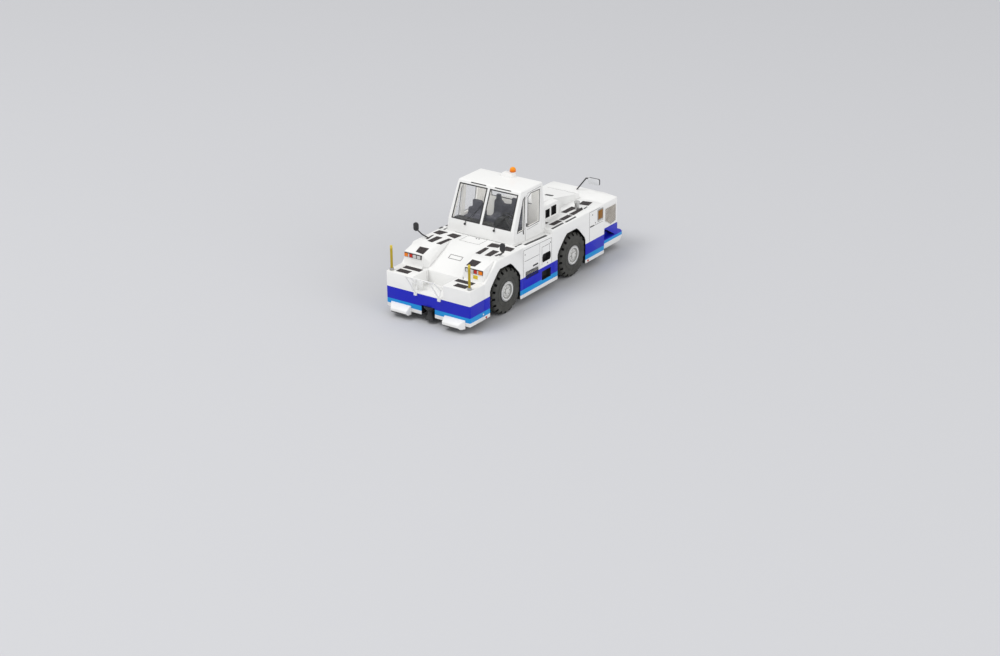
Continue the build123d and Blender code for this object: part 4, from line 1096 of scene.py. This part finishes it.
REFLECTORS = ((5.75, 2.1), (45.3, 2.15))
SCREWS = ((28.96, 6.96), (20.28, 11.51), (30.1, 11.37), (47.04, 12.5), (48.33, 10.25))
side_lamp = slab(side_points(oblong((49.3, 10.6), (51.3, 12.8))), height=0.05)
soften(side_lamp, FILM_EDGE)
fit_out(both_sides([side_lamp]), "side_lamp", BROWN)
lamp_edge = side_points(oblong((49.15, 10.45), (51.45, 12.95)))
lamp_rim = both_sides([window_frame(lamp_edge, width=0.2, height=0.09, sink=SUNK)])
soften(lamp_rim, FILM_EDGE, 1)
fit_out(lamp_rim, "side_lamp_rim", GREY)
reflectors = [stud(on_side(station, z), LEFT, radius=0.24, height=0.1) for station, z in REFLECTORS]
fit_out(both_sides(reflectors), "side_reflectors", RED)
heads = [stud(on_side(station, z), LEFT, radius=0.13, sides=10) for station, z in SCREWS]
heads.append(stud(place(-0.34, 18.3, DECK), UP, radius=0.16, sides=10))
fit_out(both_sides(heads), "screw_heads", DARK_LINE)
eyes = both_sides([stud(on_side(4.7, 3.12), LEFT, radius=0.17, height=0.08)])
fit_out(eyes, "bumper_eyes", PLAIN_WHITE)

# Yellow patch on the left pod, and the small plate, corners and sill of the trough between the pods

POD_FACE_STATION = 5.45
POD_FACE_HEIGHT = 9.75
POD_FACE_LEAN = 0.127
TROUGH_STATION = 5.95
TROUGH_HEIGHT = 9.45
TROUGH_SLOPE = 0.4737
PATCH = oblong((7.9, 10.3), (9.05, 11.07))
TROUGH_PLATE = oblong((-1.9, 9.95), (1.4, 11.05))
CORNER_EDGE = ((4.1, 5.15), (5.5, 5.15), (4.42, 6.6), (4.1, 5.66))
CORNER_HEIGHT = 3.05
SILL_EDGE = ((-5.6, 5.1), (5.6, 5.1), (4.4, 6.62), (-4.4, 6.62))
patch = slab([place(x, POD_FACE_STATION + (z - POD_FACE_HEIGHT) * POD_FACE_LEAN, z) for x, z in PATCH],
             height=0.05)
soften(patch, THIN_EDGE)
fit_out(patch, "yellow_patch", YELLOW)
plate_edge = [place(x, station, TROUGH_HEIGHT + (station - TROUGH_STATION) * TROUGH_SLOPE)
              for x, station in TROUGH_PLATE]
plate_rim = window_frame(plate_edge, width=0.1)
soften(plate_rim, THIN_EDGE, 1)
fit_out(plate_rim, "trough_plate_rim", LINE)
corners = slab(on_top(CORNER_EDGE, TROUGH_FLOOR), CORNER_HEIGHT, sink=0.0)
soften(corners, ROUND_EDGE)
fit_out(both_sides([corners]), "trough_corners", PLAIN_WHITE)
fit_out(slab(on_top(SILL_EDGE, TROUGH_FLOOR), height=0.08), "trough_sill", PLAIN_WHITE)

# Door handles

handles = both_sides([bar(on_cab(24.3, 16.2), on_cab(24.3, 17.0), CAB_OUT, width=0.16, height=0.16)])
soften(handles, ROUND_EDGE)
fit_out(handles, "door_handles", BLACK)

# Floor and light

bpy.ops.mesh.primitive_plane_add(size=6, location=(0, 0, 0))
floor = bpy.context.active_object
floor.name = "floor"
floor.data.materials.append(new_material("floor_paper", (0.585, 0.59, 0.612), 0.9, specular=0.1)[0])

world = bpy.data.worlds.new("studio")
bpy.context.scene.world = world
world.use_nodes = True
set_inputs(world.node_tree.nodes["Background"], Color=(1.0, 1.0, 1.0, 1), Strength=0.74)


def soft_box(name, location, target, size, energy):
    light_data = bpy.data.lights.new(name, "AREA")
    light_data.shape = "DISK"
    light_data.size = size
    light_data.energy = energy
    light = bpy.data.objects.new(name, light_data)
    light.location = location
    light.rotation_euler = (Vector(target) - Vector(location)).to_track_quat("-Z", "Y").to_euler()
    bpy.context.scene.collection.objects.link(light)


soft_box("key", (-0.25, -0.45, 0.75), (0, 0, 0), size=0.45, energy=3.2)
soft_box("fill", (0.85, -0.1, 0.35), (0, 0, 0.01), size=0.6, energy=2.0)

bpy.context.scene.view_settings.view_transform = "Standard"
